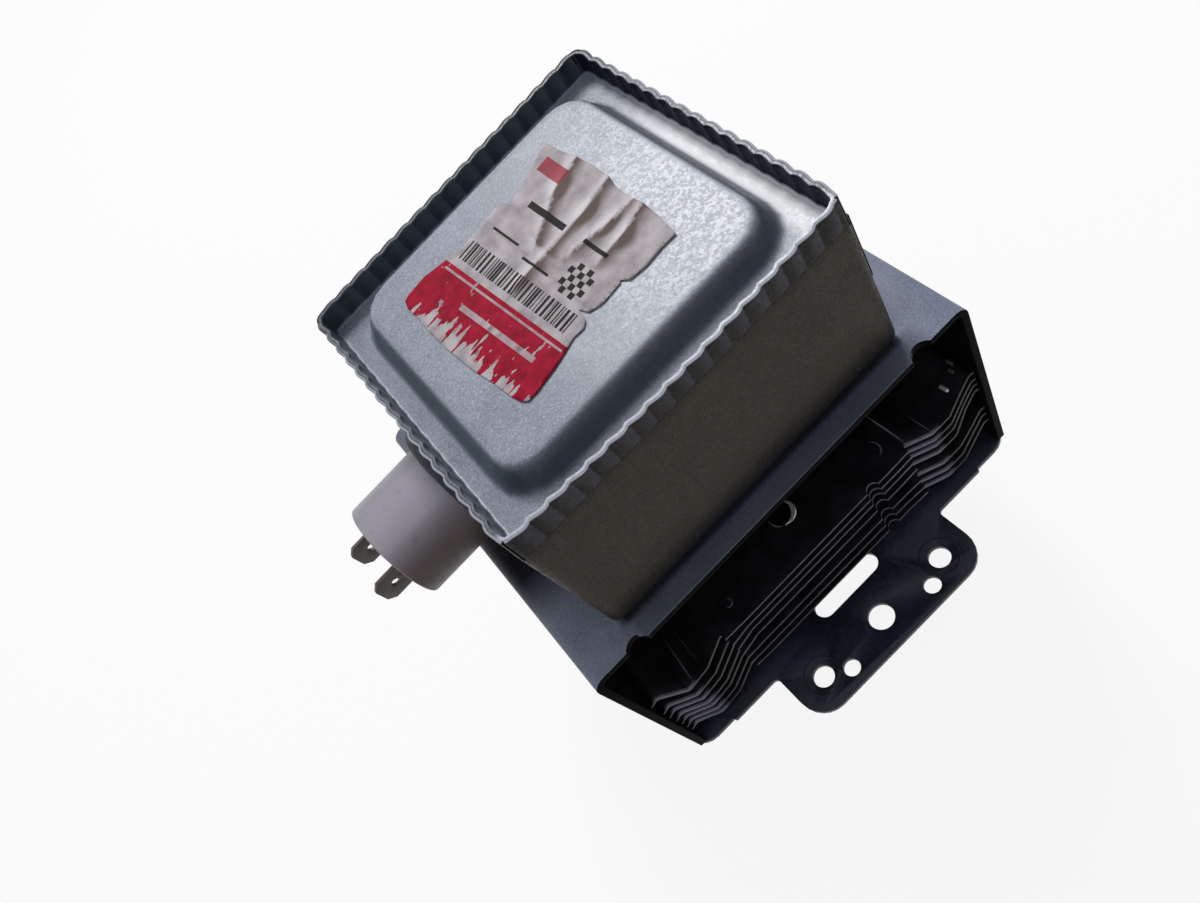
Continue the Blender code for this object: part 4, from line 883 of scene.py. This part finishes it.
def fin_tree():
    """Bends a flat sheet along a section: the section's corners are rounded and the sheet is swept along it."""
    size = "NodeSocketFloat"
    tree, tool = node_tool("bent_sheet", {"Width": size, "Sheet": size, "Bend": size, "Finish": "NodeSocketMaterial"})
    path = node(tree, "GeometryNodeMeshToCurve", {"Mesh": tool["Geometry"]}).outputs[0]
    bent = node(tree, "GeometryNodeFilletCurve", {
        "Curve": path, "Radius": tool["Bend"], "Count": 4, "Limit Radius": True}, mode="POLY")
    level_up = node(tree, "GeometryNodeSetCurveNormal", {"Curve": bent.outputs[0]}, mode="Z_UP")
    strip = node(tree, "GeometryNodeCurvePrimitiveQuadrilateral", {
        "Width": tool["Width"], "Height": tool["Sheet"]}, mode="RECTANGLE")
    swept = node(tree, "GeometryNodeCurveToMesh", {
        "Curve": level_up.outputs[0], "Profile Curve": strip.outputs[0], "Fill Caps": True})
    end_with(tree, swept.outputs[0], tool["Finish"])
    return tree


def wire_frame(name, points, closed=False):
    """A line through points, as the edges of a mesh."""
    count = len(points)
    return placed(name, points, [(i, (i + 1) % count) for i in range(count if closed else count - 1)])


def in_valleys(tree):
    """1 in the two valleys of the section, where the fins get a painted highlight, 0 on its other parts."""
    across = place_on(tree, "X")
    left = times(ramp(across, -44.4, -43.4), ramp(across, -37.6, -35.4, 1.0, 0.0))
    right = times(ramp(across, 25.6, 26.2), ramp(across, 32.5, 34.5, 1.0, 0.0))
    return calc("MAXIMUM", left, right)


fin_face, tree, shader = new_finish("fin_face", 0.42, 0.5)
shader.inputs["Specular IOR Level"].default_value = 0.3
# The aluminium faces are darkened to near black: painted shade, for the shadow under the yoke.
film = stepped(grain(tree, 4, 4.0), 0.3, 0.72)
sheet_tone = between(film, shade(27, 27, 33), shade(40, 39, 47))
from_middle = calc("ABSOLUTE", place_on(tree, "Y"))
# Painted highlight in the valleys near the sheet's front and back edges.
valley_edge_highlight = calc("ADD", ramp(from_middle, 38.5, 39.0, 0.0, 0.85), ramp(from_middle, 35.5, 38.5, 0.0, 0.06))
sheet_tone = between(times(valley_edge_highlight, in_valleys(tree)), sheet_tone, shade(206, 208, 230))
coloured(shader, sheet_tone)
rough_by(shader, film, 0.42, 0.50)
bumped(shader, grain(tree, 1.5, 3.0, (1.0, 0.25, 1.0)), 0.008, 0.3)
fin_edge, tree, shader = new_finish("fin_cut_edge", 0.5)
shader.inputs["Specular IOR Level"].default_value = 0.2
burr = stepped(grain(tree, 1.2, 4.0, (1, 1, 0.3)), 0.3, 0.7)
# Painted light on the cut edges: lighter across the middle and lightest in the valleys as a painted highlight, darker
# on the slopes as painted shade.
middle_edge_highlight = ramp(calc("ABSOLUTE", place_on(tree, "X")), 25.6, 26.4, 1.0, 0.0)
edge_tone = between(middle_edge_highlight, shade(104, 96, 98), shade(164, 154, 168))
edge_tone = between(in_valleys(tree), edge_tone, shade(204, 200, 214))
coloured(shader, between(times(burr, 0.35), edge_tone, shade(70, 64, 68)))
# A near-white finish for painted glints and highlights on the top fin.
fin_glint_finish, *_ = mottled("fin_pressed_edge", shade(226, 224, 234), shade(252, 252, 255), 2, 2.0, 0.3, 0.3)
bent_sheet = fin_tree()


def raised_line(name, points, thick, height):
    """A thin raised ridge along points, thickest in its middle."""
    rings = []
    for i, point in enumerate(points):
        share = i / (len(points) - 1)
        half = thick / 2 * max(0.15, math.sin(math.pi * share))
        way = (points[min(i + 1, len(points) - 1)] - points[max(i - 1, 0)]).normalized()
        aside = way.cross(Vector((0, 0, 1))).normalized()
        rings.append([point + aside * (half * math.cos(a)) + Vector((0, 0, height * math.sin(a)))
                      for a in (2 * math.pi * k / 8 for k in range(8))])
    return skinned(name, rings)


def arc_points(x, y, z, radius, start, end, steps=14):
    """Points along part of a circle, from a start to an end angle in degrees."""
    angles = [math.radians(start + (end - start) * step / steps) for step in range(steps + 1)]
    return [Vector((x + radius * math.cos(a), y + radius * math.sin(a), z)) for a in angles]


def joined(piece, others):
    """Puts the other pieces' meshes, with their materials, into the first one's."""
    shape = bmesh.new()
    shape.from_mesh(piece.data)
    for other in others:
        names = [material.name for material in piece.data.materials]
        for material in other.data.materials:
            if material.name not in names:
                piece.data.materials.append(material)
        slots = {material.name: i for i, material in enumerate(piece.data.materials)}
        first = len(shape.faces)
        shape.from_mesh(other.data)
        shape.faces.ensure_lookup_table()
        for face in shape.faces[first:]:
            face.material_index = slots[other.data.materials[face.material_index].name]
        bpy.data.objects.remove(other)
    shape.to_mesh(piece.data)
    shape.free()


def on_sheet(section, x):
    """The height of a section's line at a place across it."""
    for (x0, z0), (x1, z1) in zip(section, section[1:]):
        if x0 <= x <= x1:
            return z0 + (z1 - z0) * (x - x0) / (x1 - x0)
    return section[-1][1]


for number, (hub, right_crest, left_crest, right_high, left_high) in enumerate(fin_rows, 1):
    left_low, right_low = left_crest - 5.6, right_crest - 4.9
    section = ((-45.1, left_high - 1.1), (-43.1, left_high), (-38.0, left_low - 1.4), (-32.2, left_low),
               (-26.0, left_crest), (-20.5, hub), (20.5, hub), (26.0, right_crest), (32.2, right_low),
               (37.0, right_low), (41.0, right_high - 2.8), (44.2, right_high), (45.1, right_high - 0.7))
    fin = wire_frame(f"bent_fin_{number}", [(x * MM, 0, z * MM) for x, z in section])
    worked(fin, bent_sheet, width=2 * fin_half * MM, sheet=fin_sheet * MM, bend=fin_bend * MM, finish=fin_face)
    cutters = [round_bar((0, 0), tube_radius, 0, above, steps=96)]
    for side in (-1, 1):
        cutters.append(round_bar((0, side * hole_y), hole_radius, 0, above, steps=32))
        cutters.append(round_bar((notch_x, side * notch_y), notch_radius, 0, above, steps=24))
        for end in (-1, 1):
            cutters.append(block((end * step_x, side * step_y, 0), (end * 50, side * 43, above)))
    cut(fin, *cutters)
    fin.data.materials.append(fin_edge)
    for face in fin.data.polygons:
        if abs(face.normal.z) < 0.4 and abs(face.center.y) > 38 * MM:
            face.material_index = 1
    if number == 1:
        # The top fin's raised lines are pale to paint highlights: the lit side of the hole's rim in near white and its
        # far side fainter, the crescent of a half-pierced dimple, a small mark and the creases.
        surface = hub + 0.28
        raised = [raised_line(name, arc_points(x, y, surface, *arc), thick, high) for name, x, y, arc, thick, high in (
            ("hole_rim", 0, -hole_y, (2.8, -110, 35), 1.15, 0.24),
            ("hole_rim_far", 0, -hole_y, (2.8, -200, -120), 0.40, 0.16),
            ("half_pierced", 20.8, -34.6, (2.2, -75, 50), 0.40, 0.18),
            ("centre_mark", -20.1, -35.3, (0.9, -150, 60), 0.22, 0.12))]
        for x0, y0, x1, y1, thick in ((26.1, -28.2, 26.4, -38.8, 0.44), (-34.8, -26.8, -36.4, -39.1, 0.50),
                                      (-32.2, -27.0, -33.0, -38.4, 0.22), (32.0, -32.5, 32.4, -38.8, 0.24)):
            spots = [(x0 + (x1 - x0) * i / 12, y0 + (y1 - y0) * i / 12) for i in range(13)]
            line = [Vector((x, y, on_sheet(section, x) + 0.30)) for x, y in spots]
            raised.append(raised_line("crease", line, thick, 0.12))
        for piece in raised:
            piece.data.materials.append(fin_edge)
        raised[0].data.materials[0] = fin_glint_finish
        # Three small marks at the +X end are painted glints, the one furthest from the end in near white.
        for x, y, long, thick in ((44.0, -34.4, 1.7, 0.42), (43.0, -35.5, 1.4, 0.40), (40.1, -35.8, 2.2, 0.48)):
            mark = round_bar((0, 0), thick, -long / 2, long / 2, steps=16)
            soften(mark, 0.7 * thick, 4)
            lying = Matrix.Rotation(math.radians(-84), 4, "Z") @ Matrix.Rotation(math.radians(90), 4, "Y")
            mark.data.transform(Matrix.Translation(Vector((x, y, on_sheet(section, x) + 0.35)) * MM) @ lying)
            mark.data.materials.append(fin_glint_finish if x < 42 else fin_edge)
            raised.append(mark)
        joined(fin, raised)
    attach(fin, "root")
    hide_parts(f"cooling_fin_{number}")


# The mounting flange: a flat stamped steel plate with a tab at each open end. Each tab has a screw hole,
# two holes with a fine raised ring round them, two small holes and a long slot. Its plate is near black, painted shade
# for the deep shadow it lies in.
def arcs(corners, steps=6):
    """An outline from corners (x, y, radius), in millimetres, each rounded by an arc."""
    made = []
    for i, (x, y, radius) in enumerate(corners):
        here = Vector((x, y))
        before = (Vector(corners[i - 1][:2]) - here).normalized()
        after = (Vector(corners[(i + 1) % len(corners)][:2]) - here).normalized()
        half = before.angle(after) / 2
        if radius == 0 or half > 1.5:
            made.append(here)
            continue
        centre = here + (before + after).normalized() * (radius / math.sin(half))
        first, last = (here + way * (radius / math.tan(half)) - centre for way in (before, after))
        start, turn = math.atan2(first.y, first.x), first.angle_signed(last)
        for step in range(steps + 1):
            angle = start - turn * step / steps
            made.append((centre + radius * Vector((math.cos(angle), math.sin(angle)))))
    return made


def plate(name, points, low, high):
    """A flat plate or cutter with that outline."""
    return skinned(name, [level(points, low), level(points, high)])


# Plated steel darkened to near black: painted shade.
navy_zinc = zinc("navy_zinc", shade(24, 27, 38), shade(50, 58, 76), shade(90, 98, 112), 0.40, 0.30, 16, 0.04, 0.0)
flange_thick = 1.5
middle_y, middle_radius = 48.6, 2.9
ringed_x, ringed_y, ringed_radius = 17.6, 48.7, 2.4
small_x, small_y, small_radius = 12.1, 51.7, 1.9
slot_x, slot_y, slot_half = 9.0, 38.1, 2.45
tongue_x, tongue_y, tongue_half = (45.1, 47.3), 20, 4.8
quarter = [(48.5, 40.9, 5.5), (37.8, 40.9, 0), (37.8, 41.5, 0.3), (25.0, 41.5, 1.2), (25.0, 55.6, 6.2)]
flange_corners = quarter + [(-x, y, r) for x, y, r in reversed(quarter)]
flange_corners += [(-x, -y, r) for x, y, r in quarter] + [(x, -y, r) for x, y, r in reversed(quarter)]
screen_flange = plate("stamped_flange", arcs(flange_corners), 0, flange_thick)
over = (-1, 3)
holes = [round_bar((0, 0), tube_hole, *over, steps=96)]
for side in (-1, 1):
    holes.append(round_bar((0, side * middle_y), middle_radius, *over))
    slot_ends = [(x, side * slot_y + y, slot_half - 0.01)
                 for x, y in ((-slot_x, -slot_half), (slot_x, -slot_half), (slot_x, slot_half), (-slot_x, slot_half))]
    holes.append(plate("slot", arcs(slot_ends, 10), *over))
    for end in (-1, 1):
        holes.append(round_bar((end * ringed_x, side * ringed_y), ringed_radius, *over))
        holes.append(round_bar((end * small_x, side * small_y), small_radius, *over, steps=32))
        (near, low), (far, high) = zip((end * x for x in tongue_x), over)
        holes.append(block((near, side * tongue_y - tongue_half, low), (far, side * tongue_y + tongue_half, high)))
cut(screen_flange, *holes)
soften(screen_flange, 0.16)
screen_flange.data.materials.append(navy_zinc)
bead = [(3.9, 1.4), (4.45, 1.4), (4.34, 1.58), (4.18, 1.62), (4.02, 1.58)]
beads = [turned("bead", bead, (end * ringed_x, side * ringed_y), steps=64) for side in (-1, 1) for end in (-1, 1)]
for ring in beads:
    ring.data.materials.append(navy_zinc)
joined(screen_flange, beads)
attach(screen_flange, "root")
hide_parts("mounting_flange")


# The yoke: one thick zinc-plated strip folded into a U over the fins, with round relief notches beside
# its folds. Two tongues on each wall go through the flange. Its inner faces and cut edges get painted shade, near
# black.
def yoke_painted_shadows(tree, plate_colour):
    """Painted shadow of the box on the narrow strip in front of it, painted shade along the box's foot, and the
    painted shadow of the connector on the ledge under it.
    """
    across, along = place_on(tree, "X"), place_on(tree, "Y")
    # Painted shadow of the box on the strip in front of it.
    strip = times(ramp(across, -37, -33), ramp(across, 35, 40, 1.0, 0.0), ramp(along, -35.8, -34.5, 0.64, 0.0),
                  ramp(along, -40.75, -40.55, 0.0, 1.0))
    # Painted shade along the box's foot.
    seat = times(ramp(along, -36.9, -35.7, 0.0, 0.85), ramp(along, -35.0, -34.0, 1.0, 0.0),
                 ramp(calc("ABSOLUTE", across), 34, 36, 1.0, 0.0))
    # Painted shadow of the connector on the ledge under it.
    connector_shadow = times(ramp(across, -37.0, -36.0, 1.0, 0.0), ramp(place_on(tree, "Z"), 50.5, 53.5),
                  ramp(along, -24, -13, 0.0, 0.95), ramp(along, 24, 34, 1.0, 0.45))
    return layered(plate_colour, (strip, shade(46, 54, 72)), (seat, shade(12, 14, 20)), (connector_shadow, shade(18, 19, 25)))


yoke_zinc = zinc("yoke_zinc", shade(116, 124, 146), shade(166, 174, 194), shade(206, 212, 224), 0.42, 0.15, 12,
                 0.5, 0.3, yoke_painted_shadows)
yoke_half_x, yoke_half_y, yoke_top, yoke_sheet, yoke_bend = 47.0, 40.8, 54.8, 1.6, 3.0
tongue_end, wall_end = 0.5, 1.8
relief_x, relief_y, relief_radius = 35.7, 41.4, 2.6
setback, middle_tongue_gap, outer_tongue_end = 0.5, 15.5, 24.5
folded = []
for inset in (0.0, yoke_sheet):
    half, upper, bend = yoke_half_x - inset, yoke_top - inset, yoke_bend - inset
    side_points = [(half, tongue_end)]
    for step in range(9):
        angle = math.radians(90 * step / 8)
        side_points.append((half - bend * (1 - math.cos(angle)), upper - bend * (1 - math.sin(angle))))
    folded.append(side_points + [(-x, z) for x, z in reversed(side_points)])
yoke_outline = folded[0] + folded[1][::-1]
folded_yoke = skinned("folded_yoke", [[(x, y, z) for x, z in yoke_outline] for y in (-yoke_half_y, yoke_half_y)])
far = 50
gaps = [round_bar((0, 0), tube_hole, 50, 60, steps=96)]
setbacks = []
for end in (-1, 1):
    for side in (-1, 1):
        gaps.append(round_bar((end * relief_x, side * relief_y), relief_radius, 50, 60, steps=40))
        setbacks.append(block((end * relief_x, side * (yoke_half_y - setback), -1), (end * far, side * far, 60)))
        gaps.append(block((end * 40, side * outer_tongue_end, -1), (end * far, side * far, wall_end)))
    gaps.append(block((end * 40, -middle_tongue_gap, -1), (end * far, middle_tongue_gap, wall_end)))
cut(folded_yoke, *gaps)
cut(folded_yoke, *setbacks)
soften(folded_yoke, 0.22, 3)
folded_yoke.data.materials.append(yoke_zinc)
folded_yoke.data.materials.append(bare_steel)
# Painted shade: the inner faces and cut edges take the near-black finish.
for face in folded_yoke.data.polygons:
    inward = face.normal.z < -0.5 or face.normal.x * face.center.x < -0.5 * abs(face.center.x)
    if abs(face.normal.y) > 0.9 or inward and max(abs(face.normal.x), abs(face.normal.z)) > 0.5:
        face.material_index = 1
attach(folded_yoke, "root")
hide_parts("yoke")


# The tube's round pieces: two ground ferrite ring magnets with chamfered edges, the turned copper anode
# between the fins, and under the flange the ceramic window, its deep-drawn cap and the gasket's clip ring.
ferrite, *_ = mottled("ground_ferrite", shade(34, 34, 36), shade(58, 58, 60), 1.2, 4.0, 0.55,
                      relief=(0.3, 3.0, 0.02, 0.6))
copper, tree, shader = mottled("copper", shade(176, 104, 74), shade(214, 142, 108), 5, 4.0, 0.32, 0.9)
rough_by(shader, grain(tree, 2, 3.0), 0.26, 0.42)
alumina, *_ = mottled("alumina", shade(226, 220, 214), shade(240, 236, 230), 3, 3.0, 0.55,
                      relief=(0.4, 2.0, 0.01, 0.5))


def cad_sizes(part):
    """A node's radius, and its lowest and highest place, in millimetres."""
    low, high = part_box(part)
    return high.x / MM, low.z / MM, high.z / MM


for name, part, sheet, chamfer, slot, finish in (
    ("lower_ring_magnet", "antenna_side_magnet", 15.9, 1.0, "ferrite", ferrite),
    ("upper_ring_magnet", "cathode_side_magnet", 16.9, 1.0, "ferrite", ferrite),
    ("anode_shell", "anode_cylinder", 2.3, 0.3, "copper", copper),
    ("window_ring", "output_ceramic", 2.0, 0.4, "white_ceramic", alumina),
    ("gasket_clip", "gasket_retainer", 1.4, 0.1, "zinc_plated_steel", yoke_zinc),
):
    radius, low, high = cad_sizes(part)
    section = [(radius - sheet, low), (radius - chamfer, low), (radius, low + chamfer), (radius, high - chamfer),
               (radius - chamfer, high), (radius - sheet, high)]
    ring_piece = turned(name, rounded(section, 0.25), (0, 0))
    ring_piece.data.materials.append(finish)
    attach(ring_piece, "root")
    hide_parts(part)


# The antenna's cap: deep-drawn from thin steel and plated, with a round bend at its closed end. It is
# pressed over the pinched end of the tube.
radius, cap_foot, cap_mouth = cad_sizes("antenna_cap")
cap_sheet, cap_bend = 0.5, 1.5
cap_bore, cap_rim = radius - cap_sheet, cap_mouth - 0.4
mouth = [(cap_bore, cap_rim), (cap_bore, cap_mouth), (radius, cap_mouth), (radius, cap_rim)]
inner, outer = ([(radius - x, z) for x, z in quarter_turn(inset, cap_foot + inset, cap_bend, 6)]
                for inset in (cap_sheet, 0.0))
drawn_cap = turned("drawn_cap", inner + rounded(mouth, 0.2) + outer[::-1], (0, 0), closed=False)
drawn_cap.data.materials.append(yoke_zinc)
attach(drawn_cap, "root")
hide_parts("antenna_cap")


# The gasket: fine steel wire knitted to a soft ring, which the waveguide presses flat. Two windings
# cross round a core, and each is one endless wire.
def wire_tree():
    """Draws a round wire along each line."""
    tree, tool = node_tool("wire", {"Radius": "NodeSocketFloat", "Finish": "NodeSocketMaterial"})
    path = node(tree, "GeometryNodeMeshToCurve", {"Mesh": tool["Geometry"]}).outputs[0]
    round_wire = node(tree, "GeometryNodeCurvePrimitiveCircle", {
        "Resolution": 5, "Radius": tool["Radius"]}).outputs[0]
    swept = node(tree, "GeometryNodeCurveToMesh", {"Curve": path, "Profile Curve": round_wire})
    end_with(tree, swept.outputs[0], tool["Finish"])
    return tree


knit, *_ = mottled("knitted_wire", shade(96, 96, 98), shade(188, 188, 190), 0.5, 2.0, 0.4, 0.8, (0.4, 2.0, 0.1, 0.8))
gasket_wire, gasket_width = 0.16, 2.5
windings, winding_steps = 90, 14
radius, gasket_foot, gasket_top = cad_sizes("rf_mesh_gasket")
gasket_middle = Vector((radius - gasket_width / 2, (gasket_foot + gasket_top) / 2))
gasket_half = Vector((gasket_width / 2, (gasket_top - gasket_foot) / 2))


def gasket_point(turn, share, inset):
    """A point on the ring's rounded section, at an angle round the ring and a share of the way round the section."""
    angle = 2 * math.pi * share
    out, up = (math.copysign(abs(part) ** 0.6, part) for part in (math.cos(angle), math.sin(angle)))
    reach = gasket_middle.x + (gasket_half.x - inset) * out
    return Vector((reach * math.cos(turn), reach * math.sin(turn), gasket_middle.y + (gasket_half.y - inset) * up))


core = [[gasket_point(2 * math.pi * k / 96, i / 20, 2 * gasket_wire) for i in range(20)] for k in range(96)]
knitted_gasket = skinned("knitted_gasket", core, True)
knitted_gasket.data.materials.append(knit)
count = windings * winding_steps
for way in (1, -1):
    turns = ((2 * math.pi * i / count, way * i / winding_steps) for i in range(count))
    winding = wire_frame("winding", [gasket_point(*turn, 1.2 * gasket_wire) * MM for turn in turns], True)
    worked(winding, wire_tree(), sharp=60, radius=gasket_wire * MM, finish=knit)
    joined(knitted_gasket, [winding])
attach(knitted_gasket, "root")
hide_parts("rf_mesh_gasket")


# The pieces inside the box and the tube keep their CAD shape and get the finish of their material.
enamel, *_ = mottled("wire_enamel", shade(120, 52, 26), shade(156, 74, 38), 4, 2.0, 0.28, 0.5)
tungsten, *_ = mottled("drawn_tungsten", shade(110, 106, 102), shade(150, 146, 142), 1, 2.0, 0.4, 0.9)
slot_finish = {
    "zinc_plated_steel": yoke_zinc, "shaded_zinc_steel": navy_zinc, "knitted_steel_mesh": knit,
    "fin_aluminium": fin_face, "ferrite": ferrite, "copper": copper, "enamelled_wire": enamel,
    "white_ceramic": alumina, "lavender_plastic": lavender, "tinned_brass": tinned, "tungsten": tungsten,
    "label_paper": label_finish,
}
for part in frame["record"]["subparts"]:
    cad_mesh = frame["nodes"][part["node"]].data
    cad_mesh.materials.clear()
    cad_mesh.materials.append(slot_finish[part["material_slot"]])
